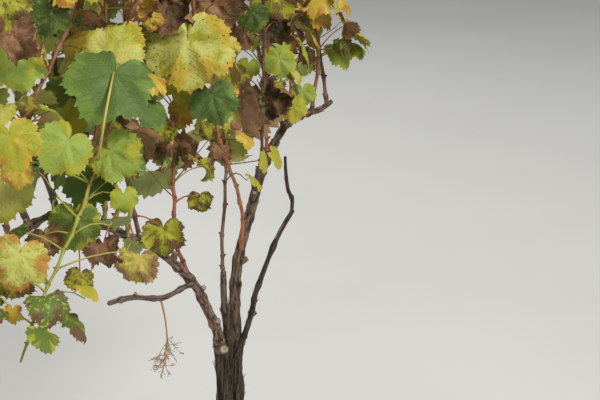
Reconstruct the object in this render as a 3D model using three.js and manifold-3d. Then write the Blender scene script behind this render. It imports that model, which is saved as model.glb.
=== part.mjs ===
// A grapevine in autumn: a twin-stemmed trunk, two arms bent along the row,
// and the year's canes rising from them, each with its own leaves.
// Millimetres, +Z up, +X along the row. The origin is in the trunk's flat cut at ground level.
import * as THREE from "three";
import Module from "manifold-3d";
import { mergeVertices } from "three/addons/utils/BufferGeometryUtils.js";

const wasm = await Module();
wasm.setup();

// Clearances
const GAP = 0.3; // between two sub-parts that meet
const LEAF_CLEARANCE = 1.5; // between a leaf and any other sub-part
const BELOW_GROUND = 12; // how far a root lobe starts below the ground, where the cut takes it off

// Wood
const TRUNK_FOOT_RADIUS = 25;
const TRUNK_SIDES = 12;
const TRUNK_RING_LENGTH = 60;
const STEM_RADIUS = 18; // of each stem above the flare
const ROOT_LOBES = 5;
const ROOT_LOBE_REACH = 46;
const ROOT_LOBE_HEIGHT = 120;
const ROOT_LOBE_RADIUS = 14;
const ROOT_LOBE_TOP_RADIUS = 5;
const ROOT_FLATNESS = 0.8; // of the root flare, across the row against along it
const ARM_SIDES = 8;
const ARM_RING_LENGTH = 34; // spacing of the rings along an arm
const CANE_RADIUS = 4.2;
const CANE_TIP_RADIUS = 1.9;
const CANE_SIDES = 5;
const CANE_RING_LENGTH = 60;
const CANE_SWAY = 60; // how far a cane wanders from its bow
const NOD_REACH = 60; // how far a cane's tip leans over at the top
const NOD_RISE = 22;
const CANE_STEPS = 40; // places looked at along a cane to find the nearest

// Leaves
const LEAF_WIDTH = 116; // a full leaf across its side lobes
const LEAF_THICKNESS = 3.2; // at the middle of the blade, which thins to its margin
const LAST_LEAF = 0.97; // the share of a cane, from its foot, that its leaves reach
const LEAF_SPACING = 36; // along a cane, alternating from side to side
const LEAF_TWIST = 0.9; // how far the two rows of leaves turn round the cane from foot to tip
const HEADING_SPREAD = 2.5; // how widely single leaves stray from the two sides of the row
const PETIOLE_LENGTH = 72;
const PETIOLE_SHARE = 0.62; // of its cane's radius, where it leaves the cane
const PETIOLE_TIP_RADIUS = 1.2; // where it enters the blade
const FRONT_CUP = 0.25; // how far the front leaves' margins fall back, per width
const LEAF_TRIES = 14; // places tried for one leaf before it is left out
const CROWN = { left: -805, right: 480, front: -255, back: 245, bottom: 690, top: 1600 };

// Half of a blade's outline from the notch at the petiole to the tip, in leaf widths:
// along the midrib, then out from it.
const HALF_OUTLINE = [
  [-0.17, 0.42],
  [0.38, 0.5],
];
const NOTCH = [-0.03, 0];
const TIP = [0.72, 0];
const BLADE_CENTRE = 0.13; // along the midrib
const JOINT_ALONG = 0.04; // where the petiole enters it
const OUTLINE = [
  NOTCH,
  ...HALF_OUTLINE,
  TIP,
  ...HALF_OUTLINE.map(([along, out]) => [along, -out]).reverse(),
];

const COLOURS = {
  bark: "#5a4a3c",
  arm: "#6b5645",
  green: "#6f8a3a",
  lime: "#9aa043",
  yellow: "#b9a53a",
  brown: "#7d5f40",
};

// The woody parts. Each tapers through its points from its first radius to its last,
// and starts inside the one that it grows from.
const ARMS = [
  {
    name: "left_arm",
    from: "trunk",
    radii: [9.6, 6.2],
    path: [[-34, -3, 455], [-50, -6, 505], [-94, -10, 574], [-139, -15, 634], [-204, -15, 696],
      [-262, -9, 743]],
  },
  {
    name: "left_cordon",
    from: "left_arm",
    radii: [6.2, 5],
    path: [[-250, -11, 735], [-326, 0, 784], [-372, 8, 813], [-443, 10, 853], [-527, 5, 867], [-612, 5, 848]],
  },
  {
    name: "right_arm",
    from: "trunk",
    radii: [10.5, 8.5],
    path: [[30, 2, 415], [38, 9, 534], [58, 10, 622], [94, 5, 705], [115, 0, 758], [140, 0, 790],
      [178, -5, 832]],
  },
  {
    name: "right_cordon",
    from: "right_arm",
    radii: [7.6, 4.8],
    path: [[168, -5, 825], [226, 0, 850], [300, 5, 853], [370, 8, 846], [432, 10, 852]],
  },
  {
    name: "looped_branch",
    from: "trunk",
    radii: [5.6, 4.4],
    path: [[20, -4, 425], [35, -15, 466], [64, -14, 505], [83, -15, 546], [154, -17, 628], [228, -14, 672]],
  },
  {
    name: "looped_branch_top",
    from: "looped_branch",
    radii: [4.2, 3],
    path: [[221, -14, 668], [226, -12, 694], [206, -14, 722], [184, -22, 770], [176, -26, 800]],
  },
  {
    name: "old_spur",
    from: "trunk",
    radii: [7, 5.4],
    path: [[-8, -4, 450], [-18, -8, 498], [-32, -12, 563], [-38, -15, 626]],
  },
  {
    name: "low_cane",
    from: "left_arm",
    radii: [4.8, 4],
    path: [[-139, -16, 634], [-176, -24, 642], [-257, -30, 649], [-349, -30, 681], [-407, -27, 690]],
  },
];

// The year's canes with their leaves. A cane with a path follows it, and one with only a crest
// rises to it in a soft bow. bare is the share of the cane, from its foot, that has no leaves.
const SHOOTS = [
  {
    name: "shoot_far_left",
    from: "left_cordon",
    tint: "yellow",
    bare: 0.1,
    foot: [-604, 5, 850],
    path: [[-622, -18, 967], [-567, -40, 1086], [-495, -60, 1209], [-478, -80, 1400]],
  },
  {
    name: "shoot_left_back_1",
    from: "left_cordon",
    tint: "lime",
    bare: 0.05,
    foot: [-552, 5, 864],
    crest: [-640, 120, 1440],
  },
  {
    name: "shoot_left_back_2",
    from: "left_cordon",
    tint: "green",
    bare: 0.05,
    foot: [-478, 8, 861],
    crest: [-515, 150, 1575],
  },
  {
    name: "shoot_left_front",
    from: "left_cordon",
    tint: "lime",
    bare: 0.1,
    foot: [-440, 10, 851],
    crest: [-440, -165, 1370],
  },
  {
    name: "shoot_left_mid",
    from: "left_cordon",
    tint: "green",
    bare: 0.05,
    foot: [-402, 9, 832],
    crest: [-398, 150, 1500],
  },
  {
    name: "shoot_orange",
    from: "left_cordon",
    tint: "lime",
    bare: 0.2,
    foot: [-365, 7, 808],
    path: [[-392, -30, 953], [-399, -40, 1127], [-396, -38, 1240], [-410, -30, 1530]],
  },
  {
    name: "shoot_red",
    from: "left_cordon",
    tint: "green",
    bare: 0.3,
    foot: [-318, -4, 778],
    path: [[-321, -24, 882], [-326, -26, 1004], [-331, -30, 1187], [-320, -62, 1550]],
  },
  {
    name: "shoot_left_back_3",
    from: "left_cordon",
    tint: "yellow",
    bare: 0.1,
    foot: [-283, -6, 757],
    crest: [-290, 150, 1530],
  },
  {
    name: "shoot_russet",
    from: "left_arm",
    tint: "lime",
    bare: 0.32,
    foot: [-143, -15, 638],
    path: [[-197, -22, 727], [-199, -20, 812], [-172, 0, 930], [-128, 22, 1045], [-140, 60, 1510]],
  },
  {
    name: "shoot_to_prune",
    from: "right_arm",
    tint: "yellow",
    bare: 0.52,
    foot: [62, 8, 628],
    path: [[20, -22, 727], [-26, -35, 803], [-78, -50, 867], [-167, -75, 993], [-223, -90, 1076],
      [-262, -110, 1340]],
  },
  {
    name: "shoot_thin",
    from: "old_spur",
    tint: "lime",
    bare: 0.35,
    foot: [-38, -15, 618],
    path: [[-33, -10, 672], [4, 5, 771], [24, 16, 824], [36, 32, 888], [41, 55, 961], [-55, 130, 1480]],
  },
  {
    name: "shoot_front_mid",
    from: "right_arm",
    tint: "brown",
    bare: 0.35,
    foot: [99, 4, 718],
    path: [[84, -22, 790], [50, -52, 900], [10, -80, 1080], [-40, -112, 1440]],
  },
  {
    name: "shoot_right_1",
    from: "right_arm",
    tint: "lime",
    bare: 0.3,
    foot: [151, 0, 802],
    path: [[152, 4, 850], [152, 5, 909], [150, -2, 1010], [140, -38, 1510]],
  },
  {
    name: "shoot_right_back",
    from: "right_cordon",
    tint: "green",
    bare: 0.1,
    foot: [212, -1, 845],
    crest: [165, 150, 1500],
  },
  {
    name: "shoot_salmon",
    from: "right_cordon",
    tint: "yellow",
    bare: 0.25,
    foot: [262, 3, 853],
    path: [[262, 10, 900], [263, 15, 983], [268, 22, 1100], [262, 48, 1480]],
  },
  {
    name: "shoot_right_front",
    from: "right_cordon",
    tint: "lime",
    bare: 0.1,
    foot: [338, 6, 850],
    crest: [352, -22, 1400],
  },
  {
    name: "shoot_far_right",
    from: "right_cordon",
    tint: "green",
    bare: 0.05,
    foot: [410, 9, 849],
    crest: [425, 120, 1450],
  },
  {
    name: "shoot_drooping",
    from: "left_cordon",
    tint: "green",
    bare: 0.12,
    drooping: true,
    foot: [-346, 4, 797],
    path: [[-388, -46, 880], [-518, -104, 956], [-582, -120, 912], [-644, -130, 863], [-710, -140, 809],
      [-765, -150, 752]],
  },
];

// The large leaves on the side of the alley: where the petiole meets the blade, how wide the
// blade is, and how many degrees its tip is turned from hanging straight down.
const FRONT_LEAVES = [
  { at: [-525, -150, 1120], width: 135, turn: -55 },
  { at: [-492, -118, 1150], width: 100, turn: 160 },
  { at: [-564, -75, 1222], width: 100, turn: -10 },
  { at: [-273, -112, 1140], width: 140, turn: 8 },
  { at: [-262, -66, 1190], width: 104, turn: 20 },
  { at: [-372, -92, 1190], width: 116, turn: 12 },
  { at: [-172, -96, 1165], width: 84, turn: 35 },
  { at: [-30, -80, 1125], width: 72, turn: 10 },
  { at: [40, -80, 1165], width: 104, turn: 20 },
  { at: [72, -72, 1090], width: 78, turn: -10 },
  { at: [131, -40, 1008], width: 62, turn: 5 },
  { at: [-212, -112, 1016], width: 96, turn: -25 },
  { at: [28, -66, 962], width: 92, turn: 32 },
  { at: [180, -40, 905], width: 56, turn: 10 },
  { at: [-259, -42, 800], width: 74, turn: 0 },
  { at: [-337, -42, 760], width: 82, turn: -20 },
  { at: [-425, -36, 800], width: 74, turn: 10 },
  { at: [-577, -104, 905], width: 104, turn: 0 },
  { at: [-740, -140, 905], width: 100, turn: -15 },
  { at: [-691, -100, 1010], width: 78, turn: 0 },
  { at: [-655, -165, 1050], width: 104, turn: -35 },
  { at: [-540, -150, 1005], width: 104, turn: 55 },
  { at: [-575, -130, 975], width: 92, turn: 0 },
];
// Towards the alley, from where the front leaves are seen full face
const ALLEY = new THREE.Vector3(-0.82, -0.48, 0.31).normalize();

// A seeded run of numbers from 0 to 1, the same for the same seed
function seededNumbers(seed) {
  let state = Math.imul(seed + 1, 2654435761) >>> 0;
  return () => {
    state = (Math.imul(state, 1664525) + 1013904223) >>> 0;
    return state / 4294967296;
  };
}

// A closed geometry as a solid. Faces that merging has folded to a line are dropped.
function solidOf(geometry) {
  geometry.deleteAttribute("normal");
  geometry.deleteAttribute("uv");
  const merged = mergeVertices(geometry, 1e-4);
  const faces = [];
  for (let i = 0; i < merged.index.count; i += 3) {
    const face = [0, 1, 2].map((k) => merged.index.getX(i + k));
    if (new Set(face).size === 3) faces.push(...face);
  }
  return new wasm.Manifold(
    new wasm.Mesh({
      numProp: 3,
      vertProperties: Float32Array.from(merged.attributes.position.array),
      triVerts: Uint32Array.from(faces),
    }),
  );
}

function geometryOf(solid) {
  const { vertProperties, triVerts, numProp } = solid.getMesh();
  const geometry = new THREE.BufferGeometry();
  geometry.setAttribute("position", new THREE.BufferAttribute(vertProperties.slice(), numProp));
  geometry.setIndex(new THREE.BufferAttribute(triVerts.slice(), 1));
  return geometry.toNonIndexed();
}

// The largest body of a solid, which drops loose scraps and fills sealed hollows
function mainBody(solid) {
  return solid.decompose().reduce((a, b) => (b.volume() > a.volume() ? b : a));
}

function curveThrough(points) {
  return new THREE.CatmullRomCurve3(points.map((p) => new THREE.Vector3(...p)), false, "catmullrom", 0.5);
}

function ringsAlong(curve, ringLength) {
  return Math.max(3, Math.round(curve.getLength() / ringLength));
}

// A tapering round limb along a curve. grow makes it larger all over, for cutting its neighbours.
function limb(curve, radii, sides, ringLength, grow = 0) {
  const rings = ringsAlong(curve, ringLength);
  const geometry = new THREE.CylinderGeometry(1, 1, 1, sides, rings);
  const position = geometry.attributes.position;
  const frames = framesAlong(curve, rings);
  const offset = new THREE.Vector3();
  for (let i = 0; i < position.count; i++) {
    const along = position.getY(i) + 0.5;
    const ring = frames[Math.round(along * rings)];
    const radius = radii[0] + (radii[1] - radii[0]) * along + grow;
    const endward = along < 1e-6 ? -grow : along > 1 - 1e-6 ? grow : 0;
    offset
      .copy(ring.point)
      .addScaledVector(ring.side, position.getX(i) * radius)
      .addScaledVector(ring.other, position.getZ(i) * radius)
      .addScaledVector(ring.tangent, endward);
    position.setXYZ(i, offset.x, offset.y, offset.z);
  }
  return solidOf(geometry);
}

// Points and axes at even steps along a curve, turning as little as they can
function framesAlong(curve, rings) {
  const frames = [];
  let side = new THREE.Vector3(0, 1, 0);
  for (let i = 0; i <= rings; i++) {
    const point = curve.getPoint(i / rings);
    const tangent = curve.getTangent(i / rings);
    side = side.clone().addScaledVector(tangent, -side.dot(tangent)).normalize();
    const other = new THREE.Vector3().crossVectors(side, tangent);
    frames.push({ point, tangent, side, other });
  }
  return frames;
}

// Two stems grown together, with a flare of root lobes, cut flat at the ground
function trunk(grow = 0) {
  const stems = [
    { path: [[-9, 11, -20], [-9, 11, 60]], radii: [TRUNK_FOOT_RADIUS, 17] },
    {
      path: [[-9, 11, 40], [-12, 10, 188], [-11, 6, 342], [-29, -1, 446], [-46, -5, 494]],
      radii: [STEM_RADIUS, 10.2],
    },
    { path: [[11, -11, -20], [12, -10, 60]], radii: [TRUNK_FOOT_RADIUS, 17] },
    { path: [[12, -10, 40], [14, -9, 180], [15, -6, 330], [27, 1, 432]], radii: [STEM_RADIUS, 12.5] },
  ];
  const parts = stems.map((s) => limb(curveThrough(s.path), s.radii, TRUNK_SIDES, TRUNK_RING_LENGTH, grow));
  for (let i = 0; i < ROOT_LOBES; i++) {
    const turn = ((i + 0.35) / ROOT_LOBES) * 2 * Math.PI;
    const reach = [Math.cos(turn) * ROOT_LOBE_REACH, Math.sin(turn) * ROOT_LOBE_REACH * ROOT_FLATNESS];
    const path = [
      [reach[0], reach[1], -BELOW_GROUND],
      [reach[0] * 0.55, reach[1] * 0.55, ROOT_LOBE_HEIGHT * 0.35],
      [reach[0] * 0.4, reach[1] * 0.3, ROOT_LOBE_HEIGHT],
    ];
    parts.push(limb(curveThrough(path), [ROOT_LOBE_RADIUS, ROOT_LOBE_TOP_RADIUS], CANE_SIDES, 40, grow));
  }
  return mainBody(wasm.Manifold.union(parts).trimByPlane([0, 0, 1], 0));
}

// The control points of a cane, from its foot on its arm to its tip, which nods over
function canePath(shoot, index) {
  const next = seededNumbers(1000 + index);
  const bow = () => [0.25, 0.5, 0.75, 1].map((share) => bowPoint(shoot, share, next));
  const points = [shoot.foot, ...(shoot.path ?? bow())];
  if (shoot.drooping) return points;
  const heading = next() * 2 * Math.PI;
  const nod = NOD_REACH * (0.5 + next());
  const [x, y, z] = points.at(-1);
  return [...points, [x + Math.cos(heading) * nod, y + (Math.sin(heading) * nod) / 2, z + NOD_RISE]];
}

function bowPoint({ foot, crest }, share, next) {
  const sway = CANE_SWAY * Math.sin(share * Math.PI);
  return [
    foot[0] + (crest[0] - foot[0]) * Math.pow(share, 1.3) + (next() - 0.5) * sway,
    foot[1] + (crest[1] - foot[1]) * Math.pow(share, 0.8) + (next() - 0.5) * sway,
    foot[2] + (crest[2] - foot[2]) * share,
  ];
}

// A leaf as one closed skin: its smooth face, its outline, the three corners where the petiole
// leaves the other face, and the petiole's foot inside the cane. X runs to the tip, Y out of
// the upper face.
function leafSolid(leaf) {
  const geometry = new THREE.SphereGeometry(1, OUTLINE.length, 4);
  const position = geometry.attributes.position;
  const columns = OUTLINE.length + 1;
  const toBlade = leaf.place.clone().invert();
  const foot = leaf.root.clone().applyMatrix4(toBlade);
  const lower = foot.y < 0 ? -1 : 1; // the face that the petiole leaves
  const joint = new THREE.Vector3(JOINT_ALONG * leaf.width, lower * LEAF_THICKNESS * 0.75, 0);
  for (let i = 0; i < position.count; i++) {
    const row = Math.floor(i / columns);
    const column = (i % columns) % OUTLINE.length;
    const [along, out] = OUTLINE[column];
    const reach = (along - BLADE_CENTRE) ** 2 + out ** 2;
    const turn = ((Math.floor(column / 2) + 0.25) / 3) * 2 * Math.PI;
    const corner = new THREE.Vector3(-Math.cos(turn), 0, -lower * Math.sin(turn));
    const point = [
      new THREE.Vector3(BLADE_CENTRE * leaf.width, -lower * LEAF_THICKNESS * 0.25, 0),
      new THREE.Vector3(along, -leaf.cup * reach, -lower * out).multiplyScalar(leaf.width),
      corner.clone().multiplyScalar(PETIOLE_TIP_RADIUS).add(joint),
      corner.multiplyScalar(caneRadius(leaf.share) * PETIOLE_SHARE).add(foot),
      foot,
    ][row];
    position.setXYZ(i, point.x, point.y, point.z);
  }
  return solidOf(geometry.applyMatrix4(leaf.place));
}

// A point of a cane's faceted axis
function axisPoint(cane, share) {
  const ring = Math.min(share * cane.rings, cane.rings - 1e-6);
  const below = Math.floor(ring);
  const above = cane.curve.getPoint((below + 1) / cane.rings);
  return cane.curve.getPoint(below / cane.rings).lerp(above, ring - below);
}

function caneRadius(share) {
  return CANE_RADIUS + (CANE_TIP_RADIUS - CANE_RADIUS) * share;
}

// A leaf whose blade starts at a junction, with its tip and its upper face turned as given
function placedLeaf(cane, share, junction, tip, upper, width, cup) {
  const x = tip.clone().normalize();
  const y = upper.clone().addScaledVector(x, -upper.dot(x)).normalize();
  const z = new THREE.Vector3().crossVectors(x, y);
  const place = new THREE.Matrix4().makeBasis(x, y, z).setPosition(junction);
  const centre = new THREE.Vector3(BLADE_CENTRE * width, 0, 0).applyMatrix4(place);
  return { share, root: axisPoint(cane, share), width, cup, place, centre };
}

// One try at the leaf of a cane's node: a petiole that leaves the cane sideways and up,
// and a blade that hangs outwards from its end.
function grownLeaf(cane, share, side, next) {
  const stray = (share - 0.5) * LEAF_TWIST + (next() - 0.5) * HEADING_SPREAD;
  const heading = (side + 0.5) * Math.PI + stray;
  const rise = 0.35 + next() * 0.5;
  const droop = 0.55 + next() * 0.75;
  const length = PETIOLE_LENGTH * (0.65 + next() * 0.6);
  const width = LEAF_WIDTH * (0.72 + next() * 0.42) * (1 - 0.35 * share * share);
  const roll = (next() - 0.5) * 0.9;
  const cup = 0.1 + next() * 0.45;
  const out = new THREE.Vector3(Math.cos(heading), Math.sin(heading), 0);
  const up = new THREE.Vector3(0, 0, 1);
  const petiole = out.clone().multiplyScalar(Math.cos(rise)).addScaledVector(up, Math.sin(rise));
  const junction = axisPoint(cane, share).addScaledVector(petiole, length);
  const tip = out.clone().multiplyScalar(Math.cos(droop)).addScaledVector(up, -Math.sin(droop));
  const upper = out.clone().multiplyScalar(Math.sin(droop)).addScaledVector(up, Math.cos(droop));
  upper.applyAxisAngle(tip, roll);
  return placedLeaf(cane, share, junction, tip, upper, width, cup);
}

// A large leaf that faces the alley, on the cane that passes nearest behind it
function frontLeaf(cane, spec) {
  const junction = new THREE.Vector3(...spec.at);
  const down = new THREE.Vector3(0, 0, -1);
  const tip = down.addScaledVector(ALLEY, -down.dot(ALLEY)).normalize();
  tip.applyAxisAngle(ALLEY, THREE.MathUtils.degToRad(spec.turn));
  return placedLeaf(cane, nearestOn(cane, junction).share, junction, tip, ALLEY, spec.width, FRONT_CUP);
}

// Where a cane passes nearest to a place, and how far from it
function nearestOn(cane, place) {
  let best = { distance: Infinity };
  for (let step = 2; step < CANE_STEPS; step++) {
    const share = step / CANE_STEPS;
    const distance = axisPoint(cane, share).distanceTo(place);
    if (distance < best.distance) best = { distance, share };
  }
  return best;
}

function outlineOf(leaf) {
  return OUTLINE.map(([along, out]) =>
    new THREE.Vector3(along, 0, out).multiplyScalar(leaf.width).applyMatrix4(leaf.place),
  );
}

function insideCrown(leaf) {
  return outlineOf(leaf).every((p) => {
    const inRow = p.x > CROWN.left && p.x < CROWN.right && p.y > CROWN.front && p.y < CROWN.back;
    return inRow && p.z > CROWN.bottom && p.z < CROWN.top;
  });
}

// Whether a leaf's middle is nearer to its own cane than to any other
function inOwnSpace(leaf, cane, canes) {
  const own = nearestOn(cane, leaf.centre).distance;
  return canes.every((other) => other === cane || nearestOn(other, leaf.centre).distance > own);
}

// Whether a rule-grown leaf would sit on, or in the light of, one that has a place already
function crowds(leaf, other) {
  const apart = leaf.centre.clone().sub(other.centre);
  const reach = (leaf.width + other.width) / 2;
  if (apart.length() < reach * 0.42) return true;
  if (!other.front) return false;
  const inFront = apart.dot(ALLEY);
  const aside = Math.sqrt(Math.max(0, apart.lengthSq() - inFront * inFront));
  return inFront > 0 && aside < reach * 0.75;
}

function near(boxA, boxB, room) {
  return [0, 1, 2].every((k) => boxA.min[k] - room < boxB.max[k] && boxB.min[k] - room < boxA.max[k]);
}

// The wood: the trunk, then each arm cut clear of the one that it grows from
const wood = new Map([["trunk", { solid: trunk(), grown: trunk(GAP) }]]);
for (const arm of ARMS) {
  const curve = curveThrough(arm.path);
  const build = (grow) => limb(curve, arm.radii, ARM_SIDES, ARM_RING_LENGTH, grow);
  let solid = build(0);
  for (const other of wood.values()) solid = mainBody(solid.subtract(other.grown));
  wood.set(arm.name, { solid, grown: build(GAP) });
}

// The canes, each cut clear of the wood
const canes = SHOOTS.map((shoot, index) => {
  const curve = curveThrough(canePath(shoot, index));
  let solid = limb(curve, [CANE_RADIUS, CANE_TIP_RADIUS], CANE_SIDES, CANE_RING_LENGTH);
  for (const other of wood.values()) solid = solid.subtract(other.grown);
  solid = mainBody(solid);
  return { ...shoot, index, curve, solid, parts: [solid], rings: ringsAlong(curve, CANE_RING_LENGTH) };
});
const placed = [...wood.values(), ...canes].map(({ solid }) => ({ solid, box: solid.boundingBox() }));

// Adds a leaf to its cane unless it would touch anything but the cane that it grows from
function addLeaf(cane, leaf) {
  const margin = outlineOf(leaf);
  if (margin.some((p) => nearestOn(cane, p).distance < LEAF_CLEARANCE + CANE_RADIUS * 2)) return false;
  const solid = leafSolid(leaf);
  const box = solid.boundingBox();
  for (const other of placed) {
    if (other.solid === cane.solid || !near(box, other.box, LEAF_CLEARANCE)) continue;
    if (solid.minGap(other.solid, LEAF_CLEARANCE + 1) < LEAF_CLEARANCE) return false;
  }
  cane.parts.push(solid);
  placed.push({ solid, box });
  return true;
}

const grown = [];
for (const spec of FRONT_LEAVES) {
  const at = new THREE.Vector3(...spec.at);
  const cane = canes.reduce((a, b) => (nearestOn(b, at).distance < nearestOn(a, at).distance ? b : a));
  const leaf = frontLeaf(cane, spec);
  leaf.front = true;
  if (addLeaf(cane, leaf)) grown.push(leaf);
}

for (const cane of canes) {
  const leafy = LAST_LEAF - cane.bare;
  const nodes = Math.floor((cane.curve.getLength() * leafy) / LEAF_SPACING);
  for (let node = 0; node < nodes; node++) {
    const share = cane.bare + (leafy * (node + 0.5)) / nodes;
    const next = seededNumbers(cane.index * 100 + node);
    for (let attempt = 0; attempt < LEAF_TRIES; attempt++) {
      const leaf = grownLeaf(cane, share, node % 2, next);
      if (!insideCrown(leaf) || !inOwnSpace(leaf, cane, canes)) continue;
      if (grown.some((other) => crowds(leaf, other))) continue;
      if (!addLeaf(cane, leaf)) continue;
      grown.push(leaf);
      break;
    }
  }
}

// Each sub-part as one named mesh, in the group of the one that it grows from
const vine = new THREE.Group();
const groups = new Map();

function addMesh(name, from, solid, colour) {
  const material = new THREE.MeshStandardMaterial({ color: colour, roughness: 0.85, metalness: 0 });
  const mesh = new THREE.Mesh(geometryOf(solid), material);
  mesh.name = name;
  const group = new THREE.Group().add(mesh);
  groups.set(name, group);
  (groups.get(from) ?? vine).add(group);
}

addMesh("trunk", null, wood.get("trunk").solid, COLOURS.bark);
for (const arm of ARMS) addMesh(arm.name, arm.from, wood.get(arm.name).solid, COLOURS.arm);
for (const cane of canes) {
  addMesh(cane.name, cane.from, mainBody(wasm.Manifold.union(cane.parts)), COLOURS[cane.tint]);
}

export default vine;
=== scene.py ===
"""A grapevine in autumn: shredding bark, the year's canes, and leaves from green to dry brown.

Metres, +Z up, +X along the row. The plans of the limbs and canes are in millimetres, as in the
part's source.
"""
import logging
import math
from dataclasses import dataclass, field, replace
from enum import Enum
from functools import cache, cached_property
from typing import Iterator, Optional, Sequence, TypeVar

import bmesh
import bpy
import numpy as np
from mathutils import Matrix, Vector, noise
from mathutils.bvhtree import BVHTree


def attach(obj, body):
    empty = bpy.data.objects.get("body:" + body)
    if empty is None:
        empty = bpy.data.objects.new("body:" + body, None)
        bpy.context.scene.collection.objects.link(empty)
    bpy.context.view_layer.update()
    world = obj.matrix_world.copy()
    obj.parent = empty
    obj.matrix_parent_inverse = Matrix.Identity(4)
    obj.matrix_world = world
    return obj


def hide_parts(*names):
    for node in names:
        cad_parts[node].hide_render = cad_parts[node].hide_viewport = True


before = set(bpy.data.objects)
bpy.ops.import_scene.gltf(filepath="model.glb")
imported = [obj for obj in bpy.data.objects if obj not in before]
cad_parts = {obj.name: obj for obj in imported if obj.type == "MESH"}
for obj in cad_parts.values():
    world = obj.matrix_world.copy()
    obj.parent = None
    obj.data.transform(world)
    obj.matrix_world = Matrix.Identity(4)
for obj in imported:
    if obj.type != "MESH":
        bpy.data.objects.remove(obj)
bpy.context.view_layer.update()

log = logging.getLogger("grapevine")
Choice = TypeVar("Choice")
Array = np.ndarray
Line = tuple[Array, Array]
Ring = tuple[float, Array]
Place = tuple[float, float, float]
Piece = bpy.types.Object
Socket = bpy.types.NodeSocket

MM = 0.001
BODY = "root"
FULL_TURN = 2 * math.pi

# The source's rule for canes and leaves, in metres
CANE_RADIUS = 0.0042
CANE_TIP_RADIUS = 0.0019
CANE_RING_LENGTH = 0.06
CANE_SWAY = 0.06
NOD_REACH = 0.06
NOD_RISE = 0.022
CANE_STEPS = 40
LEAF_WIDTH = 0.116
LEAF_THICKNESS = 0.0032
LAST_LEAF = 0.97
LEAF_SPACING = 0.036
LEAF_TWIST = 0.9
HEADING_SPREAD = 2.5
PETIOLE_LENGTH = 0.072
PETIOLE_SHARE = 0.62
PETIOLE_TIP_RADIUS = 0.0012
FRONT_CUP = 0.25
LEAF_CLEARANCE = 0.0015
LEAF_TRIES = 14
LIGHT_REACH = 0.3
CROWN_LOW = np.array([-0.805, -0.255, 0.690])
CROWN_HIGH = np.array([0.480, 0.245, 1.600])
OUTLINE = np.array([[-0.03, 0], [-0.17, 0.42], [0.38, 0.5], [0.72, 0], [0.38, -0.5], [-0.17, -0.42]])
BLADE_CENTRE = 0.13
LEAST_BEND = 1e-3
JOINT_ALONG = 0.04
ALLEY = np.array([-0.82, -0.48, 0.31]) / np.linalg.norm([-0.82, -0.48, 0.31])
UP = np.array([0.0, 0.0, 1.0])

# What the scene carries further than the source: side twigs with small leaves
SIDE_TWIG_SHARE = 0.8
SIDE_TWIG_LENGTH = 0.085
SIDE_LEAF_WIDTH = 0.052
SIDE_TRIES = 8
SIDE_LEAVES = ((0.45, 1.2), (0.75, -1.2), (1.0, 0.0))
DRAWN_SIZE = (0.72, 0.95)

# The first seed of each kind of draw, and how far apart two canes' seeds are
CANE_SEEDS = 1000
FRONT_SEEDS = 9000
BETWEEN_SEEDS = 9100
TWIG_SEEDS = 50000
BLADE_SEEDS = 200000
SIZE_SEEDS = 250000
STALK_SEEDS = 300000
BUD_SEEDS = 400000
SEEDS_APART = 100


class Tint(Enum):
    """The plain colours of the leaves, as they look in daylight."""

    DEEP_GREEN = "#3d4c16"
    GREEN = "#5d6f27"
    LIGHT_GREEN = "#8fa143"
    BLUE_GREEN = "#526a2e"
    SAGE = "#6b8236"
    LIME = "#a09c28"
    PALE_LIME = "#b8b65c"
    OLIVE = "#6b6827"
    YELLOW = "#bb9f33"
    PALE_YELLOW = "#c3ae58"
    OCHRE = "#a9792d"
    TAN = "#8f6d48"
    ROSE_BROWN = "#865d42"
    BROWN = "#67472d"
    DARK_BROWN = "#432f20"
    UNDER_GREEN = "#8f9855"
    VEIN = "#d9d391"
    PETIOLE_RED = "#a2603f"
    PETIOLE_LIME = "#aba24a"
    STALK = "#a9742f"
    STRIP_BROWN = "#7b6554"
    FRECKLE = "#3c2c1a"


@dataclass(frozen=True)
class LeafLook:
    """How one sort of leaf is coloured and how crumpled it is.

    Margin and spots are the shares of the faces there that take those tints; freckles are counted.
    """

    slot: str
    blade: Tint
    margin_tint: Tint
    spot_tint: Tint
    under: Tint
    margin: float = 0.2
    spots: float = 0.05
    crumple: float = 0.0
    freckles: int = 0


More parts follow.
